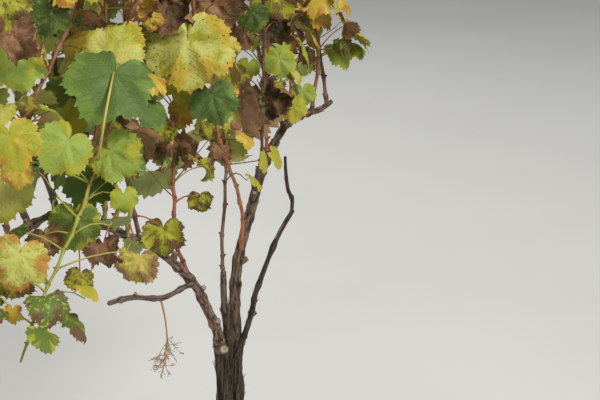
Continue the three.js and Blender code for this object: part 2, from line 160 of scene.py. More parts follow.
class Look(Enum):
    """The sorts of leaf that an autumn vine carries at once."""

    DEEP = LeafLook("leaf_green", Tint.DEEP_GREEN, Tint.GREEN, Tint.GREEN, Tint.UNDER_GREEN, 0.15)
    GREEN = LeafLook("leaf_green", Tint.GREEN, Tint.LIME, Tint.OLIVE, Tint.UNDER_GREEN, 0.3, 0.06, 0.0, 12)
    LIGHT = LeafLook("leaf_green", Tint.LIGHT_GREEN, Tint.LIME, Tint.LIME, Tint.UNDER_GREEN, 0.25)
    SPECKLED = LeafLook("leaf_green", Tint.GREEN, Tint.BROWN, Tint.LIGHT_GREEN, Tint.UNDER_GREEN,
                        0.4, 0.1, 0.35, 150)
    BLUE = LeafLook("leaf_blue_green", Tint.BLUE_GREEN, Tint.SAGE, Tint.GREEN, Tint.UNDER_GREEN, 0.15)
    LIME = LeafLook("leaf_lime", Tint.LIME, Tint.YELLOW, Tint.LIGHT_GREEN, Tint.PALE_LIME, 0.4, 0.1, 0.0, 14)
    PALE = LeafLook("leaf_lime", Tint.PALE_LIME, Tint.LIME, Tint.PALE_YELLOW, Tint.PALE_LIME, 0.3, 0.1)
    RIMMED = LeafLook("leaf_lime", Tint.PALE_LIME, Tint.OCHRE, Tint.LIME, Tint.PALE_LIME, 0.34, 0.12, 0.1, 80)
    GOLDEN = LeafLook("leaf_lime", Tint.PALE_LIME, Tint.YELLOW, Tint.LIME, Tint.PALE_LIME, 0.4, 0.12, 0.1,
                      110)
    MOTTLED = LeafLook("leaf_lime", Tint.LIME, Tint.BROWN, Tint.OLIVE, Tint.PALE_LIME, 0.35, 0.2, 0.4, 150)
    YELLOW = LeafLook("leaf_yellow", Tint.YELLOW, Tint.OCHRE, Tint.PALE_YELLOW, Tint.PALE_YELLOW, 0.35, 0.12)
    FADING = LeafLook("leaf_yellow", Tint.PALE_YELLOW, Tint.TAN, Tint.LIME, Tint.TAN, 0.5, 0.3, 0.45, 110)
    OCHRE = LeafLook("leaf_yellow", Tint.OCHRE, Tint.BROWN, Tint.YELLOW, Tint.TAN, 0.6, 0.2, 0.5, 30)
    BROWN = LeafLook("leaf_brown", Tint.BROWN, Tint.ROSE_BROWN, Tint.DARK_BROWN, Tint.TAN, 0.4, 0.25, 1.0)
    ROSE = LeafLook("leaf_brown", Tint.ROSE_BROWN, Tint.BROWN, Tint.TAN, Tint.TAN, 0.45, 0.2, 0.9, 20)
    DARK = LeafLook("leaf_brown", Tint.DARK_BROWN, Tint.BROWN, Tint.OLIVE, Tint.ROSE_BROWN, 0.5, 0.2, 1.0)
    TAN = LeafLook("leaf_tan", Tint.TAN, Tint.BROWN, Tint.ROSE_BROWN, Tint.TAN, 0.45, 0.2, 0.8, 20)


class Hue(Enum):
    """The colour that a shoot's leaves have taken as a whole."""

    GREEN = "green"
    LIME = "lime"
    YELLOW = "yellow"
    BROWN = "brown"


class Bark(Enum):
    """The barks of the trunk and the limbs."""

    TRUNK = "trunk"
    ARM = "arm"
    OLD_CANE = "old_cane"
    SMOOTH_ARM = "smooth_arm"
    DARK_BRANCH = "dark_branch"


class CaneBark(Enum):
    """The barks of the year's canes."""

    RUSSET = "russet"
    RED = "red"
    ORANGE = "orange"
    BROWN = "brown"
    GREEN = "green"


# How a shoot of each hue deals out its leaves' looks
LOOK_SHARES: dict[Hue, list[tuple[Look, float]]] = {
    Hue.GREEN: [(Look.GREEN, 0.26), (Look.LIGHT, 0.26), (Look.BLUE, 0.1), (Look.DEEP, 0.1),
                (Look.SPECKLED, 0.1), (Look.LIME, 0.1), (Look.YELLOW, 0.04), (Look.ROSE, 0.04)],
    Hue.LIME: [(Look.LIME, 0.26), (Look.PALE, 0.18), (Look.MOTTLED, 0.16), (Look.LIGHT, 0.16),
               (Look.YELLOW, 0.08), (Look.SPECKLED, 0.06), (Look.ROSE, 0.05), (Look.TAN, 0.05)],
    Hue.YELLOW: [(Look.YELLOW, 0.22), (Look.FADING, 0.2), (Look.PALE, 0.16), (Look.LIME, 0.14),
                 (Look.OCHRE, 0.1), (Look.ROSE, 0.1), (Look.TAN, 0.08)],
    Hue.BROWN: [(Look.BROWN, 0.24), (Look.ROSE, 0.2), (Look.TAN, 0.16), (Look.DARK, 0.12),
                (Look.MOTTLED, 0.14), (Look.SPECKLED, 0.08), (Look.FADING, 0.06)],
}


@dataclass(frozen=True)
class LimbPlan:
    """One woody limb of the frame: its route and how rough its bark is."""

    name: str
    slot: str
    radii: tuple[float, float]
    path: list[Place]
    roughness: float = 1.0
    foot_swell: float = 0.35
    shreds: int = 10
    bark: Bark = Bark.ARM


LIMBS = [
    LimbPlan("left_arm", "arm_bark", (9.6, 6.2),
             [(-34, -3, 455), (-50, -6, 505), (-94, -10, 574), (-139, -15, 634), (-204, -15, 696),
              (-262, -9, 743)], 1.0, 0.1, 26, Bark.SMOOTH_ARM),
    LimbPlan("left_cordon", "arm_bark", (6.2, 5),
             [(-250, -11, 735), (-326, 0, 784), (-372, 8, 813), (-443, 10, 853), (-527, 5, 867),
              (-612, 5, 848)], 1.2, 0.25, 22),
    LimbPlan("right_arm", "arm_bark", (10.5, 8.5),
             [(30, 2, 415), (38, 9, 534), (58, 10, 622), (94, 5, 705), (115, 0, 758), (140, 0, 790),
              (178, -5, 832)], 1.1, 0.15, 26),
    LimbPlan("right_cordon", "arm_bark", (7.6, 4.8),
             [(168, -5, 825), (226, 0, 850), (300, 5, 853), (370, 8, 846), (432, 10, 852)], 1.2, 0.2, 16),
    LimbPlan("looped_branch", "cane_bark", (5.6, 4.4),
             [(20, -4, 425), (35, -15, 466), (64, -14, 505), (83, -15, 546), (154, -17, 628),
              (228, -14, 672)], 0.7, 0.5, 8, Bark.DARK_BRANCH),
    LimbPlan("looped_branch_top", "cane_bark", (4.2, 3),
             [(221, -14, 668), (226, -12, 694), (206, -14, 722), (184, -22, 770), (176, -26, 800)],
             0.6, 0.25, 2, Bark.DARK_BRANCH),
    LimbPlan("old_spur", "arm_bark", (7, 5.4),
             [(-8, -4, 450), (-18, -8, 498), (-32, -12, 563), (-38, -15, 626)], 1.0, 0.5, 6),
    LimbPlan("low_cane", "cane_bark", (4.8, 4),
             [(-139, -16, 634), (-176, -24, 642), (-257, -30, 649), (-349, -30, 681), (-407, -27, 690)],
             0.7, 0.45, 6, Bark.OLD_CANE),
]

# The trunk's two stems, the flare of each at its foot, and the root lobes round them
TRUNK_STEMS = [
    ([(-9, 11, -20), (-9, 11, 60)], (25, 17)),
    ([(-9, 11, 40), (-12, 10, 188), (-11, 6, 342), (-29, -1, 446), (-46, -5, 494)], (18, 9.4)),
    ([(11, -11, -20), (12, -10, 60)], (25, 17)),
    ([(12, -10, 40), (14, -9, 180), (15, -6, 330), (27, 1, 432)], (18, 12.5)),
]
ROOT_LOBES = 5
ROOT_LOBE_REACH = 0.046
ROOT_LOBE_HEIGHT = 0.120
ROOT_LOBE_RADII = (0.014, 0.005)
ROOT_FLATNESS = 0.8
BELOW_GROUND = 0.012


@dataclass(frozen=True)
class ShootPlan:
    """One of the year's canes: where it rises from, where to, and how its leaves are tinted."""

    name: str
    hue: Hue
    bare: float
    foot: Place
    path: Optional[list[Place]] = None
    crest: Optional[Place] = None
    drooping: bool = False
    bark: CaneBark = CaneBark.RUSSET
    pale_foot: float = 0.0


SHOOTS = [
    ShootPlan("shoot_far_left", Hue.YELLOW, 0.1, (-604, 5, 850),
              path=[(-622, -18, 967), (-567, -40, 1086), (-495, -60, 1209), (-478, -80, 1400)]),
    ShootPlan("shoot_left_back_1", Hue.LIME, 0.05, (-552, 5, 864), crest=(-640, 120, 1440),
              bark=CaneBark.BROWN),
    ShootPlan("shoot_left_back_2", Hue.GREEN, 0.05, (-478, 8, 861), crest=(-515, 150, 1575),
              bark=CaneBark.BROWN),
    ShootPlan("shoot_left_front", Hue.LIME, 0.1, (-440, 10, 851), crest=(-440, -165, 1370), pale_foot=0.12),
    ShootPlan("shoot_left_mid", Hue.GREEN, 0.05, (-402, 9, 832), crest=(-398, 150, 1500),
              bark=CaneBark.BROWN),
    ShootPlan("shoot_orange", Hue.LIME, 0.2, (-365, 7, 808),
              path=[(-392, -30, 953), (-399, -40, 1127), (-396, -38, 1240), (-410, -30, 1530)],
              bark=CaneBark.ORANGE, pale_foot=0.1),
    ShootPlan("shoot_red", Hue.GREEN, 0.3, (-318, -4, 778),
              path=[(-321, -24, 882), (-326, -26, 1004), (-331, -30, 1187), (-320, -62, 1550)],
              bark=CaneBark.RED, pale_foot=0.09),
    ShootPlan("shoot_left_back_3", Hue.YELLOW, 0.1, (-283, -6, 757), crest=(-290, 150, 1530),
              bark=CaneBark.BROWN),
    ShootPlan("shoot_russet", Hue.LIME, 0.32, (-143, -15, 638),
              path=[(-197, -22, 727), (-199, -20, 812), (-172, 0, 930), (-128, 22, 1045),
                    (-140, 60, 1510)], bark=CaneBark.RED),
    ShootPlan("shoot_to_prune", Hue.YELLOW, 0.52, (62, 8, 628),
              path=[(20, -22, 727), (-26, -35, 803), (-78, -50, 867), (-167, -75, 993),
                    (-223, -90, 1076), (-262, -110, 1340)], bark=CaneBark.ORANGE),
    ShootPlan("shoot_thin", Hue.LIME, 0.35, (-38, -15, 618),
              path=[(-33, -10, 672), (4, 5, 771), (24, 16, 824), (36, 32, 888), (41, 55, 961),
                    (-55, 130, 1480)], bark=CaneBark.BROWN),
    ShootPlan("shoot_front_mid", Hue.BROWN, 0.35, (99, 4, 718),
              path=[(84, -22, 790), (50, -52, 900), (10, -80, 1080), (-40, -112, 1440)], bark=CaneBark.BROWN),
    ShootPlan("shoot_right_1", Hue.LIME, 0.3, (151, 0, 802),
              path=[(152, 4, 850), (152, 5, 909), (150, -2, 1010), (140, -38, 1510)], bark=CaneBark.RED),
    ShootPlan("shoot_right_back", Hue.GREEN, 0.1, (212, -1, 845), crest=(165, 150, 1500),
              bark=CaneBark.BROWN),
    ShootPlan("shoot_salmon", Hue.YELLOW, 0.25, (262, 3, 853),
              path=[(262, 10, 900), (263, 15, 983), (268, 22, 1100), (262, 48, 1480)], bark=CaneBark.ORANGE),
    ShootPlan("shoot_right_front", Hue.LIME, 0.1, (338, 6, 850), crest=(352, -22, 1400)),
    ShootPlan("shoot_far_right", Hue.GREEN, 0.05, (410, 9, 849), crest=(425, 120, 1450),
              bark=CaneBark.BROWN),
    ShootPlan("shoot_drooping", Hue.GREEN, 0.12, (-346, 4, 797),
              path=[(-388, -46, 880), (-518, -104, 956), (-582, -120, 912), (-644, -130, 863),
                    (-710, -140, 809), (-765, -150, 752)], drooping=True, bark=CaneBark.GREEN),
]


@dataclass(frozen=True)
class LeafPlan:
    """A large leaf that faces the alley: where its petiole joins, its width and its turn in degrees.

    Fold is how far it has dried and folded. The rest says how it is drawn apart from the frame's leaf:
    its size as a share, where it is, how far it is turned on, and how far its tip comes forward.
    """

    at: Place
    width: float
    turn: float
    look: Look
    fold: float = 0.0
    size: float = 1.0
    drawn_at: Optional[Place] = None
    spin: float = 0.0
    tilt: float = 0.0
    stalk: tuple[Place, ...] = ()


FRONT_LEAVES = [
    LeafPlan((-525, -150, 1120), 135, -55, Look.BLUE, size=0.94, spin=33, tilt=28,
             stalk=((-519, -105, 956), (-588, -175, 1054))),
    LeafPlan((-492, -118, 1150), 100, 160, Look.PALE, size=0.9, drawn_at=(-508, -128, 1132)),
    LeafPlan((-564, -75, 1222), 100, -10, Look.DEEP, size=0.7, drawn_at=(-580, -80, 1222)),
    LeafPlan((-273, -112, 1140), 140, 8, Look.GOLDEN, 0.12, drawn_at=(-281, -114, 1130), spin=-6),
    LeafPlan((-262, -66, 1190), 104, 20, Look.SPECKLED, 0.3),
    LeafPlan((-372, -92, 1190), 116, 12, Look.ROSE, 1.0, drawn_at=(-352, -100, 1184)),
    LeafPlan((-172, -96, 1165), 84, 35, Look.TAN, 0.9),
    LeafPlan((-30, -80, 1125), 72, 10, Look.DEEP, size=0.8),
    LeafPlan((40, -80, 1165), 104, 20, Look.MOTTLED, 0.25),
    LeafPlan((72, -72, 1090), 78, -10, Look.DARK, 1.3, spin=20),
    LeafPlan((131, -40, 1008), 62, 5, Look.LIGHT),
    LeafPlan((-212, -112, 1016), 96, -25, Look.BLUE, 0.25, size=0.85, spin=40),
    LeafPlan((28, -66, 962), 92, 32, Look.DARK, 1.1),
    LeafPlan((180, -40, 905), 56, 10, Look.LIME),
    LeafPlan((-259, -42, 800), 74, 0, Look.MOTTLED, 0.35, drawn_at=(-264, -42, 781)),
    LeafPlan((-337, -42, 760), 82, -20, Look.FADING, 0.5, size=0.9, drawn_at=(-337, -42, 750)),
    LeafPlan((-425, -36, 800), 74, 10, Look.ROSE, 1.1, size=0.85),
    LeafPlan((-577, -104, 905), 104, 0, Look.GREEN, size=0.78),
    LeafPlan((-740, -140, 905), 100, -15, Look.RIMMED, size=0.85),
    LeafPlan((-691, -100, 1010), 78, 0, Look.YELLOW, size=0.62),
    LeafPlan((-655, -165, 1050), 104, -35, Look.LIGHT, size=0.78, tilt=12),
    LeafPlan((-540, -150, 1005), 104, 55, Look.LIGHT, 0.2, size=0.78, tilt=25),
    LeafPlan((-575, -130, 975), 92, 0, Look.LIGHT, size=0.7),
]

# Leaves that the photograph shows between those of the frame
LEAVES_BETWEEN = [
    LeafPlan((-745, -160, 1215), 62, 35, Look.ROSE, 1.1),
    LeafPlan((-725, -140, 1180), 76, 10, Look.LIGHT, 0.3),
    LeafPlan((-690, -90, 1252), 74, 15, Look.MOTTLED, 0.2),
    LeafPlan((-573, -104, 1245), 44, 60, Look.YELLOW, 0.9),
    LeafPlan((-470, -70, 1215), 70, 15, Look.LIME, 0.2),
    LeafPlan((-767, -160, 1084), 76, 15, Look.LIME),
    LeafPlan((-404, -112, 1206), 54, 40, Look.OCHRE, 0.9),
    LeafPlan((-364, -105, 1172), 34, 10, Look.YELLOW, 0.3),
    LeafPlan((-321, -100, 1190), 84, 20, Look.BROWN, 1.2),
    LeafPlan((-262, -40, 962), 54, 10, Look.MOTTLED, 0.7),
    LeafPlan((-132, -30, 800), 46, 0, Look.MOTTLED, 0.6),
    LeafPlan((-104, -40, 925), 44, 0, Look.MOTTLED, 0.4),
    LeafPlan((4, -104, 1160), 64, 24, Look.DARK, 1.4),
    LeafPlan((-575, -130, 985), 60, 0, Look.LIGHT, 0.2),
    LeafPlan((240, -30, 921), 50, 5, Look.LIGHT, 0.2),
    LeafPlan((-276, -30, 745), 48, 25, Look.SPECKLED, 0.5),
    LeafPlan((-516, -60, 782), 46, -10, Look.MOTTLED, 0.4),
    LeafPlan((-616, -80, 884), 54, 20, Look.TAN, 1.0),
    LeafPlan((-711, -100, 855), 60, 0, Look.MOTTLED, 0.5),
]

# Leaves of the rule that the photograph shows small and dried, by seed: their size and look
DRIED_LEAVES = {801: (0.45, Look.MOTTLED), 1001: (0.5, Look.TAN)}


class SeededRun:
    """A seeded run of numbers from 0 to 1, the same as the source's for the same seed."""

    WORD = 2 ** 32
    SCATTER = 2654435761
    FACTOR = 1664525
    STEP = 1013904223

    def __init__(self, seed: int) -> None:
        """Starts the run at a seed."""
        self.state = (seed + 1) * self.SCATTER % self.WORD

    def next(self) -> float:
        """The next number."""
        self.state = (self.state * self.FACTOR + self.STEP) % self.WORD
        return self.state / self.WORD

    def between(self, low: float, high: float) -> float:
        """The next number, spread from low to high."""
        return low + (high - low) * self.next()

    def several(self, count: int, low: float, high: float) -> Array:
        """The next few numbers, each spread from low to high."""
        return np.array([self.between(low, high) for _ in range(count)])

    def pick(self, shares: Sequence[tuple[Choice, float]]) -> Choice:
        """One of several things, each as likely as its share.

        Args:
            shares: The things and their shares.

        Returns:
            The thing drawn.
        """
        left = self.next() * sum(share for _, share in shares)
        for thing, share in shares:
            left -= share
            if left <= 0:
                return thing
        return shares[-1][0]


def unit(vector: Array) -> Array:
    """The vector at length one."""
    return vector / max(float(np.linalg.norm(vector)), 1e-12)


def units(rows: Array) -> Array:
    """The rows, each at length one."""
    return rows / np.maximum(np.linalg.norm(rows, axis=1, keepdims=True), 1e-9)


def turned(vector: Array, axis: Array, angle: float) -> Array:
    """The vector turned about a unit axis by an angle in radians."""
    cos, sin = math.cos(angle), math.sin(angle)
    return vector * cos + np.cross(axis, vector) * sin + axis * float(np.dot(axis, vector)) * (1 - cos)


class Curve:
    """A smooth curve through points given in millimetres, with even steps between the points."""

    MEASURES = 200
    NUDGE = 1e-3

    def __init__(self, points: Sequence[Sequence[float]]) -> None:
        """Keeps the points in metres and measures the curve.

        Args:
            points: The points that it goes through.
        """
        self.points = np.array(points, float) * MM
        chords = np.diff(self.sampled(np.arange(self.MEASURES + 1) / self.MEASURES), axis=0)
        self.length = float(np.linalg.norm(chords, axis=1).sum())

    def at(self, share: float) -> Array:
        """A point of the curve.

        Args:
            share: How far along it is, from 0 at the foot to 1 at the tip.

        Returns:
            The point, in metres.
        """
        points, last = self.points, len(self.points) - 1
        place = min(max(share, 0.0), 1.0) * last
        i = min(int(place), last - 1)
        t = place - i
        before = points[i - 1] if i > 0 else 2 * points[0] - points[1]
        after = points[i + 2] if i + 2 <= last else 2 * points[last] - points[last - 1]
        start, end = 0.5 * (points[i + 1] - before), 0.5 * (after - points[i])
        a, b = points[i], points[i + 1]
        return a + start * t + (3 * (b - a) - 2 * start - end) * t ** 2 + (2 * (a - b) + start + end) * t ** 3

    def sampled(self, shares: Sequence[float]) -> Array:
        """The points at several shares, one per row."""
        return np.array([self.at(share) for share in shares])

    def heading(self, share: float) -> Array:
        """The unit direction of the curve at a share."""
        return unit(self.at(share + self.NUDGE) - self.at(share - self.NUDGE))


def frames_along(points: Array) -> tuple[Array, Array, Array]:
    """Directions at each point of a line, turning as little as they can.

    Args:
        points: The line's points, one per row.

    Returns:
        The tangents, the sides and the other sides, one per row.
    """
    tangents = units(np.gradient(points, axis=0))
    side = np.array([0.0, 1.0, 0.0]) if abs(tangents[0][1]) < 0.9 else np.array([1.0, 0.0, 0.0])
    sides = []
    for tangent in tangents:
        side = unit(side - tangent * float(np.dot(side, tangent)))
        sides.append(side)
    sides = np.array(sides)
    return tangents, sides, np.cross(sides, tangents)


def tube(points: Array, radii: Sequence[float], sides: int) -> tuple[Array, Array]:
    """A closed thin tube along a line, as arrays.

    Args:
        points: The line's points, one per row.
        radii: The radius at each point.
        sides: The number of sides.

    Returns:
        The vertices and the triangles.
    """
    _, side, other = frames_along(points)
    turn = np.arange(sides) * FULL_TURN / sides
    radius = np.array(radii, float)[:, None, None]
    ring = side[:, None] * np.cos(turn)[None, :, None] + other[:, None] * np.sin(turn)[None, :, None]
    skin = (points[:, None] + ring * radius).reshape(-1, 3)
    faces = []
    rows = len(points)
    for row in range(rows - 1):
        for k in range(sides):
            a, b = row * sides + k, row * sides + (k + 1) % sides
            faces += [(a, a + sides, b + sides), (a, b + sides, b)]
    foot, tip = rows * sides, rows * sides + 1
    for k in range(sides):
        after = (k + 1) % sides
        faces += [(foot, k, after), (tip, (rows - 1) * sides + after, (rows - 1) * sides + k)]
    return np.vstack([skin, points[0], points[-1]]), np.array(faces)


@dataclass
class Bundle:
    """Many small things of one kind, gathered as arrays and joined into one mesh."""

    name: str
    slot: str
    tints: list[str] = field(default_factory=list)
    verts: list[Array] = field(default_factory=list)
    faces: list[Array] = field(default_factory=list)
    tint_of: list[Array] = field(default_factory=list)
    crease: list[Array] = field(default_factory=list)
    count: int = 0

    def add(self, verts: Array, faces: Array, tints: Sequence[str] | Tint, crease: Optional[Array] = None
            ) -> None:
        """Adds one thing.

        Args:
            verts: Its vertices.
            faces: Its triangles.
            tints: One tint for all of it, or a colour for each triangle.
            crease: Which of its vertices lie on a sharp rim.
        """
        each = [tints.value] * len(faces) if isinstance(tints, Tint) else tints
        self.tints += [tint for tint in dict.fromkeys(each) if tint not in self.tints]
        place = {tint: i for i, tint in enumerate(self.tints)}
        self.verts.append(verts)
        self.faces.append(faces + self.count)
        self.tint_of.append(np.array([place[tint] for tint in each], np.int32))
        self.crease.append(np.zeros(len(verts), bool) if crease is None else crease)
        self.count += len(verts)

    def add_tube(self, points: Array, radii: Sequence[float], sides: int, tint: str | Tint) -> None:
        """Adds a thin tube of one colour along a line, with its radius at each point."""
        verts, faces = tube(points, radii, sides)
        self.add(verts, faces, tint if isinstance(tint, Tint) else [tint] * len(faces))

    def build(self) -> Piece:
        """Joins the things into one piece.

        Returns:
            The piece, with a blade finish for each colour.
        """
        verts, faces = np.vstack(self.verts), np.vstack(self.faces).astype(np.int32)
        mesh = bpy.data.meshes.new(self.name)
        mesh.vertices.add(len(verts))
        mesh.vertices.foreach_set("co", verts.astype(np.float32).ravel())
        mesh.loops.add(faces.size)
        mesh.loops.foreach_set("vertex_index", faces.ravel())
        mesh.polygons.add(len(faces))
        mesh.polygons.foreach_set("loop_start", np.arange(0, faces.size, 3, dtype=np.int32))
        for tint in self.tints:
            mesh.materials.append(BLADE.material(tint))
        mesh.polygons.foreach_set("material_index", np.concatenate(self.tint_of))
        mesh.update(calc_edges=True)
        mesh.shade_smooth()
        rim = np.concatenate(self.crease)
        if rim.any():
            edges = np.empty(len(mesh.edges) * 2, np.int32)
            mesh.edges.foreach_get("vertices", edges)
            sharp = mesh.attributes.new("sharp_edge", "BOOLEAN", "EDGE")
            sharp.data.foreach_set("value", rim[edges].reshape(-1, 2).all(axis=1))
        return placed(mesh, self.slot)


def placed(mesh: bpy.types.Mesh, slot: str) -> Piece:
    """A mesh as a piece of the vine, on its body.

    Args:
        mesh: The finished mesh, with its place in its vertices.
        slot: The record's material slot; not used.

    Returns:
        The piece.
    """
    piece = bpy.data.objects.new(mesh.name, mesh)
    bpy.context.scene.collection.objects.link(piece)
    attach(piece, BODY)
    return piece


def report(piece: Piece) -> None:
    """Logs a piece's name and size."""
    count = sum(len(face.vertices) - 2 for face in piece.data.polygons)
    log.info("%s: %d triangles", piece.name, count)


class NodeBoard:
    """Adds nodes to a tree; an input is given as another node's output, as a value or as a hex colour."""

    def __init__(self, tree: bpy.types.NodeTree) -> None:
        """Works on one tree."""
        self.tree = tree

    def fill(self, node: bpy.types.Node, inputs: dict[str | int, object]) -> None:
        """Links or sets a node's inputs.

        Args:
            node: The node.
            inputs: What goes into each of them.
        """
        for key, value in inputs.items():
            if isinstance(value, Socket):
                self.tree.links.new(value, node.inputs[key])
            else:
                node.inputs[key].default_value = linear(value) if isinstance(value, str) else value

    def add(self, kind: str, inputs: dict[str | int, object] = {}, **values: object) -> bpy.types.Node:
        """A node of a kind.

        Args:
            kind: The node's type name, without the ShaderNode in front.
            inputs: What goes into its inputs.
            values: Its properties.

        Returns:
            The node.
        """
        node = self.tree.nodes.new("ShaderNode" + kind)
        for key, value in values.items():
            setattr(node, key, value)
        self.fill(node, inputs)
        return node

    def place(self) -> Socket:
        """The Object coordinates."""
        return self.add("TexCoord").outputs["Object"]

    def attribute(self, name: str, output: str = "Fac") -> Socket:
        """An attribute that the piece carries."""
        return self.add("Attribute", attribute_name=name).outputs[output]

    def group(self, tree: bpy.types.NodeTree, vector: Socket, **values: float) -> bpy.types.NodeOutputs:
        """The outputs of a shared group, read at a vector."""
        return self.add("Group", {"Vector": vector, **values}, node_tree=tree).outputs

    def scaled(self, vector: Socket, scale: Socket) -> Socket:
        """A vector times a scale."""
        return self.add("VectorMath", {0: vector, "Scale": scale}, operation="SCALE").outputs[0]

    def noise(self, vector: Socket, scale: float, detail: float, rough: float = 0.5) -> Socket:
        """The grey of a noise texture, read at a vector."""
        inputs = {"Vector": vector, "Scale": scale, "Detail": detail, "Roughness": rough}
        return self.add("TexNoise", inputs).outputs[0]

    def spread(self, value: Socket, low: float, high: float, first: float = 0.0, last: float = 1.0) -> Socket:
        """A value's stretch from low to high, spread from first to last and kept between them."""
        inputs = {"Value": value, "From Min": low, "From Max": high, "To Min": first, "To Max": last}
        return self.add("MapRange", inputs).outputs["Result"]

    def maths(self, operation: str, value: Socket, number: float) -> Socket:
        """One sum of a value and a number."""
        return self.add("Math", {0: value, 1: number}, operation=operation).outputs[0]

    def blend(self, share: Socket, first: Socket | str, second: Socket | str) -> Socket:
        """A colour that goes from the first to the second as the share goes from 0 to 1."""
        return self.add("Mix", {0: share, 6: first, 7: second}, data_type="RGBA").outputs[2]

    def bump(self, height: Socket, strength: float, distance: float) -> Socket:
        """The normal of a surface that a height raises by up to a distance in metres."""
        inputs = {"Height": height, "Strength": strength, "Distance": distance}
        return self.add("Bump", inputs).outputs["Normal"]


def mixed(first: str, second: str, share: float) -> str:
    """A colour part of the way from one hex colour to another."""
    pairs = [(int(first[i:i + 2], 16), int(second[i:i + 2], 16)) for i in (1, 3, 5)]
    return "#" + "".join(f"{round(a + (b - a) * share):02x}" for a, b in pairs)


def linear(hex_colour: str) -> tuple[float, float, float, float]:
    """A colour written as hex, as Blender's linear values."""
    channels = [int(hex_colour[i:i + 2], 16) / 255 for i in (1, 3, 5)]
    return (*[c / 12.92 if c <= 0.04045 else ((c + 0.055) / 1.055) ** 2.4 for c in channels], 1.0)


def new_group(name: str, outputs: Sequence[str], **values: float
              ) -> tuple[bpy.types.NodeTree, NodeBoard, bpy.types.Node, bpy.types.Node]:
    """An empty node group that reads a vector.

    Args:
        name: The group's name.
        outputs: The names of its outputs, all single values.
        values: The names and starting values of its other inputs.

    Returns:
        The group, its board, its input node and its output node.
    """
    tree = bpy.data.node_groups.new(name, "ShaderNodeTree")
    tree.interface.new_socket(name="Vector", in_out="INPUT", socket_type="NodeSocketVector")
    for label, value in values.items():
        socket = tree.interface.new_socket(name=label, in_out="INPUT", socket_type="NodeSocketFloat")
        socket.default_value = value
    for label in outputs:
        tree.interface.new_socket(name=label, in_out="OUTPUT", socket_type="NodeSocketFloat")
    return tree, NodeBoard(tree), tree.nodes.new("NodeGroupInput"), tree.nodes.new("NodeGroupOutput")


@cache
def fibre_grain() -> bpy.types.NodeTree:
    """Fibres that run along a limb, read from its grain attribute.

    Returns:
        A group with Strands, the broad strips, and Fibres, the fine lines in them.
    """
    tree, board, given, out = new_group("fibre_grain", ["Strands", "Fibres"], Scale=250.0, Stretch=0.1)
    stretch = board.add("CombineXYZ", {"X": 1.0, "Y": 1.0, "Z": given.outputs["Stretch"]}).outputs[0]
    along = board.add("VectorMath", {0: given.outputs["Vector"], 1: stretch}, operation="MULTIPLY")
    along = board.scaled(along.outputs[0], given.outputs["Scale"])
    board.fill(out, {"Strands": board.spread(board.noise(along, 1.0, 3.0, 0.55), 0.35, 0.65),
                     "Fibres": board.spread(board.noise(along, 4.0, 4.0, 0.65), 0.3, 0.7)})
    return tree


@cache
def weathering() -> bpy.types.NodeTree:
    """Patches that the weather leaves on old wood.

    Returns:
        A group with Patches, broad greyed places.
    """
    tree, board, given, out = new_group("weathering", ["Patches"], Scale=18.0)
    place = board.scaled(given.outputs["Vector"], given.outputs["Scale"])
    board.fill(out, {"Patches": board.spread(board.noise(place, 1.0, 5.0, 0.6), 0.46, 0.64)})
    return tree


@cache
def blade_grain() -> bpy.types.NodeTree:
    """The fine net of veins in a blade, and how its gloss changes.

    Returns:
        A group with Net, a height, and Gloss, a roughness from 0 to 1.
    """
    tree, board, given, out = new_group("blade_grain", ["Net", "Gloss"], Scale=190.0)
    place = given.outputs["Vector"]
    cells = board.add("TexVoronoi", {"Vector": place, "Scale": given.outputs["Scale"]},
                      feature="DISTANCE_TO_EDGE")
    board.fill(out, {"Net": board.spread(cells.outputs["Distance"], 0.0, 0.25),
                     "Gloss": board.noise(place, 60.0, 3.0)})
    return tree


def new_material(name: str) -> tuple[bpy.types.Material, NodeBoard, bpy.types.Node]:
    """An empty material with its surface shader.

    Args:
        name: The material's name.

    Returns:
        The material, its board and the shader.
    """
    material = bpy.data.materials.new(name)
    material.use_nodes = True
    board = NodeBoard(material.node_tree)
    return material, board, material.node_tree.nodes["Principled BSDF"]


@dataclass(frozen=True)
class BarkFinish:
    """Old wood: fibrous strips with painted shade in the grooves between them, greyed in patches."""

    name: str
    groove: str
    body: str
    strip: str
    grey: str
    scale: float
    grey_share: float = 0.45
    stretch: float = 0.09
    patch_scale: float = 26.0
    roughness: tuple[float, float] = (0.95, 0.72)
    relief: tuple[float, float] = (0.7, 0.0012)

    @cache
    def material(self) -> bpy.types.Material:
        """The bark's material, coloured by the grain that its pieces carry, with painted shade in the
        relief's grooves.

        Returns:
            The material, made on its first use.
        """
        made, board, shader = new_material(self.name)
        strands, fibres = board.group(fibre_grain(), board.attribute("grain", "Vector"), Scale=self.scale,
                                      Stretch=self.stretch)
        patches = board.group(weathering(), board.place(), Scale=self.patch_scale)["Patches"]
        colour = board.blend(strands, self.body, self.strip)
        colour = board.blend(board.maths("MULTIPLY", patches, self.grey_share), colour, self.grey)
        # painted shade: the grooves' dark colour darkens the fibres' low lines, where the bump sinks
        colour = board.blend(board.spread(fibres, 0.25, 0.8, 0.55, 0.0), colour, self.groove)
        # painted shade: the grooves' dark colour fills the carved grooves, deeper where they are deeper
        colour = board.blend(board.spread(board.attribute("groove"), 0.25, 0.95), colour, self.groove)
        board.fill(shader, {"Base Color": colour,
                            "Roughness": board.spread(fibres, 0.0, 1.0, *self.roughness),
                            "Normal": board.bump(fibres, *self.relief)})
        return made


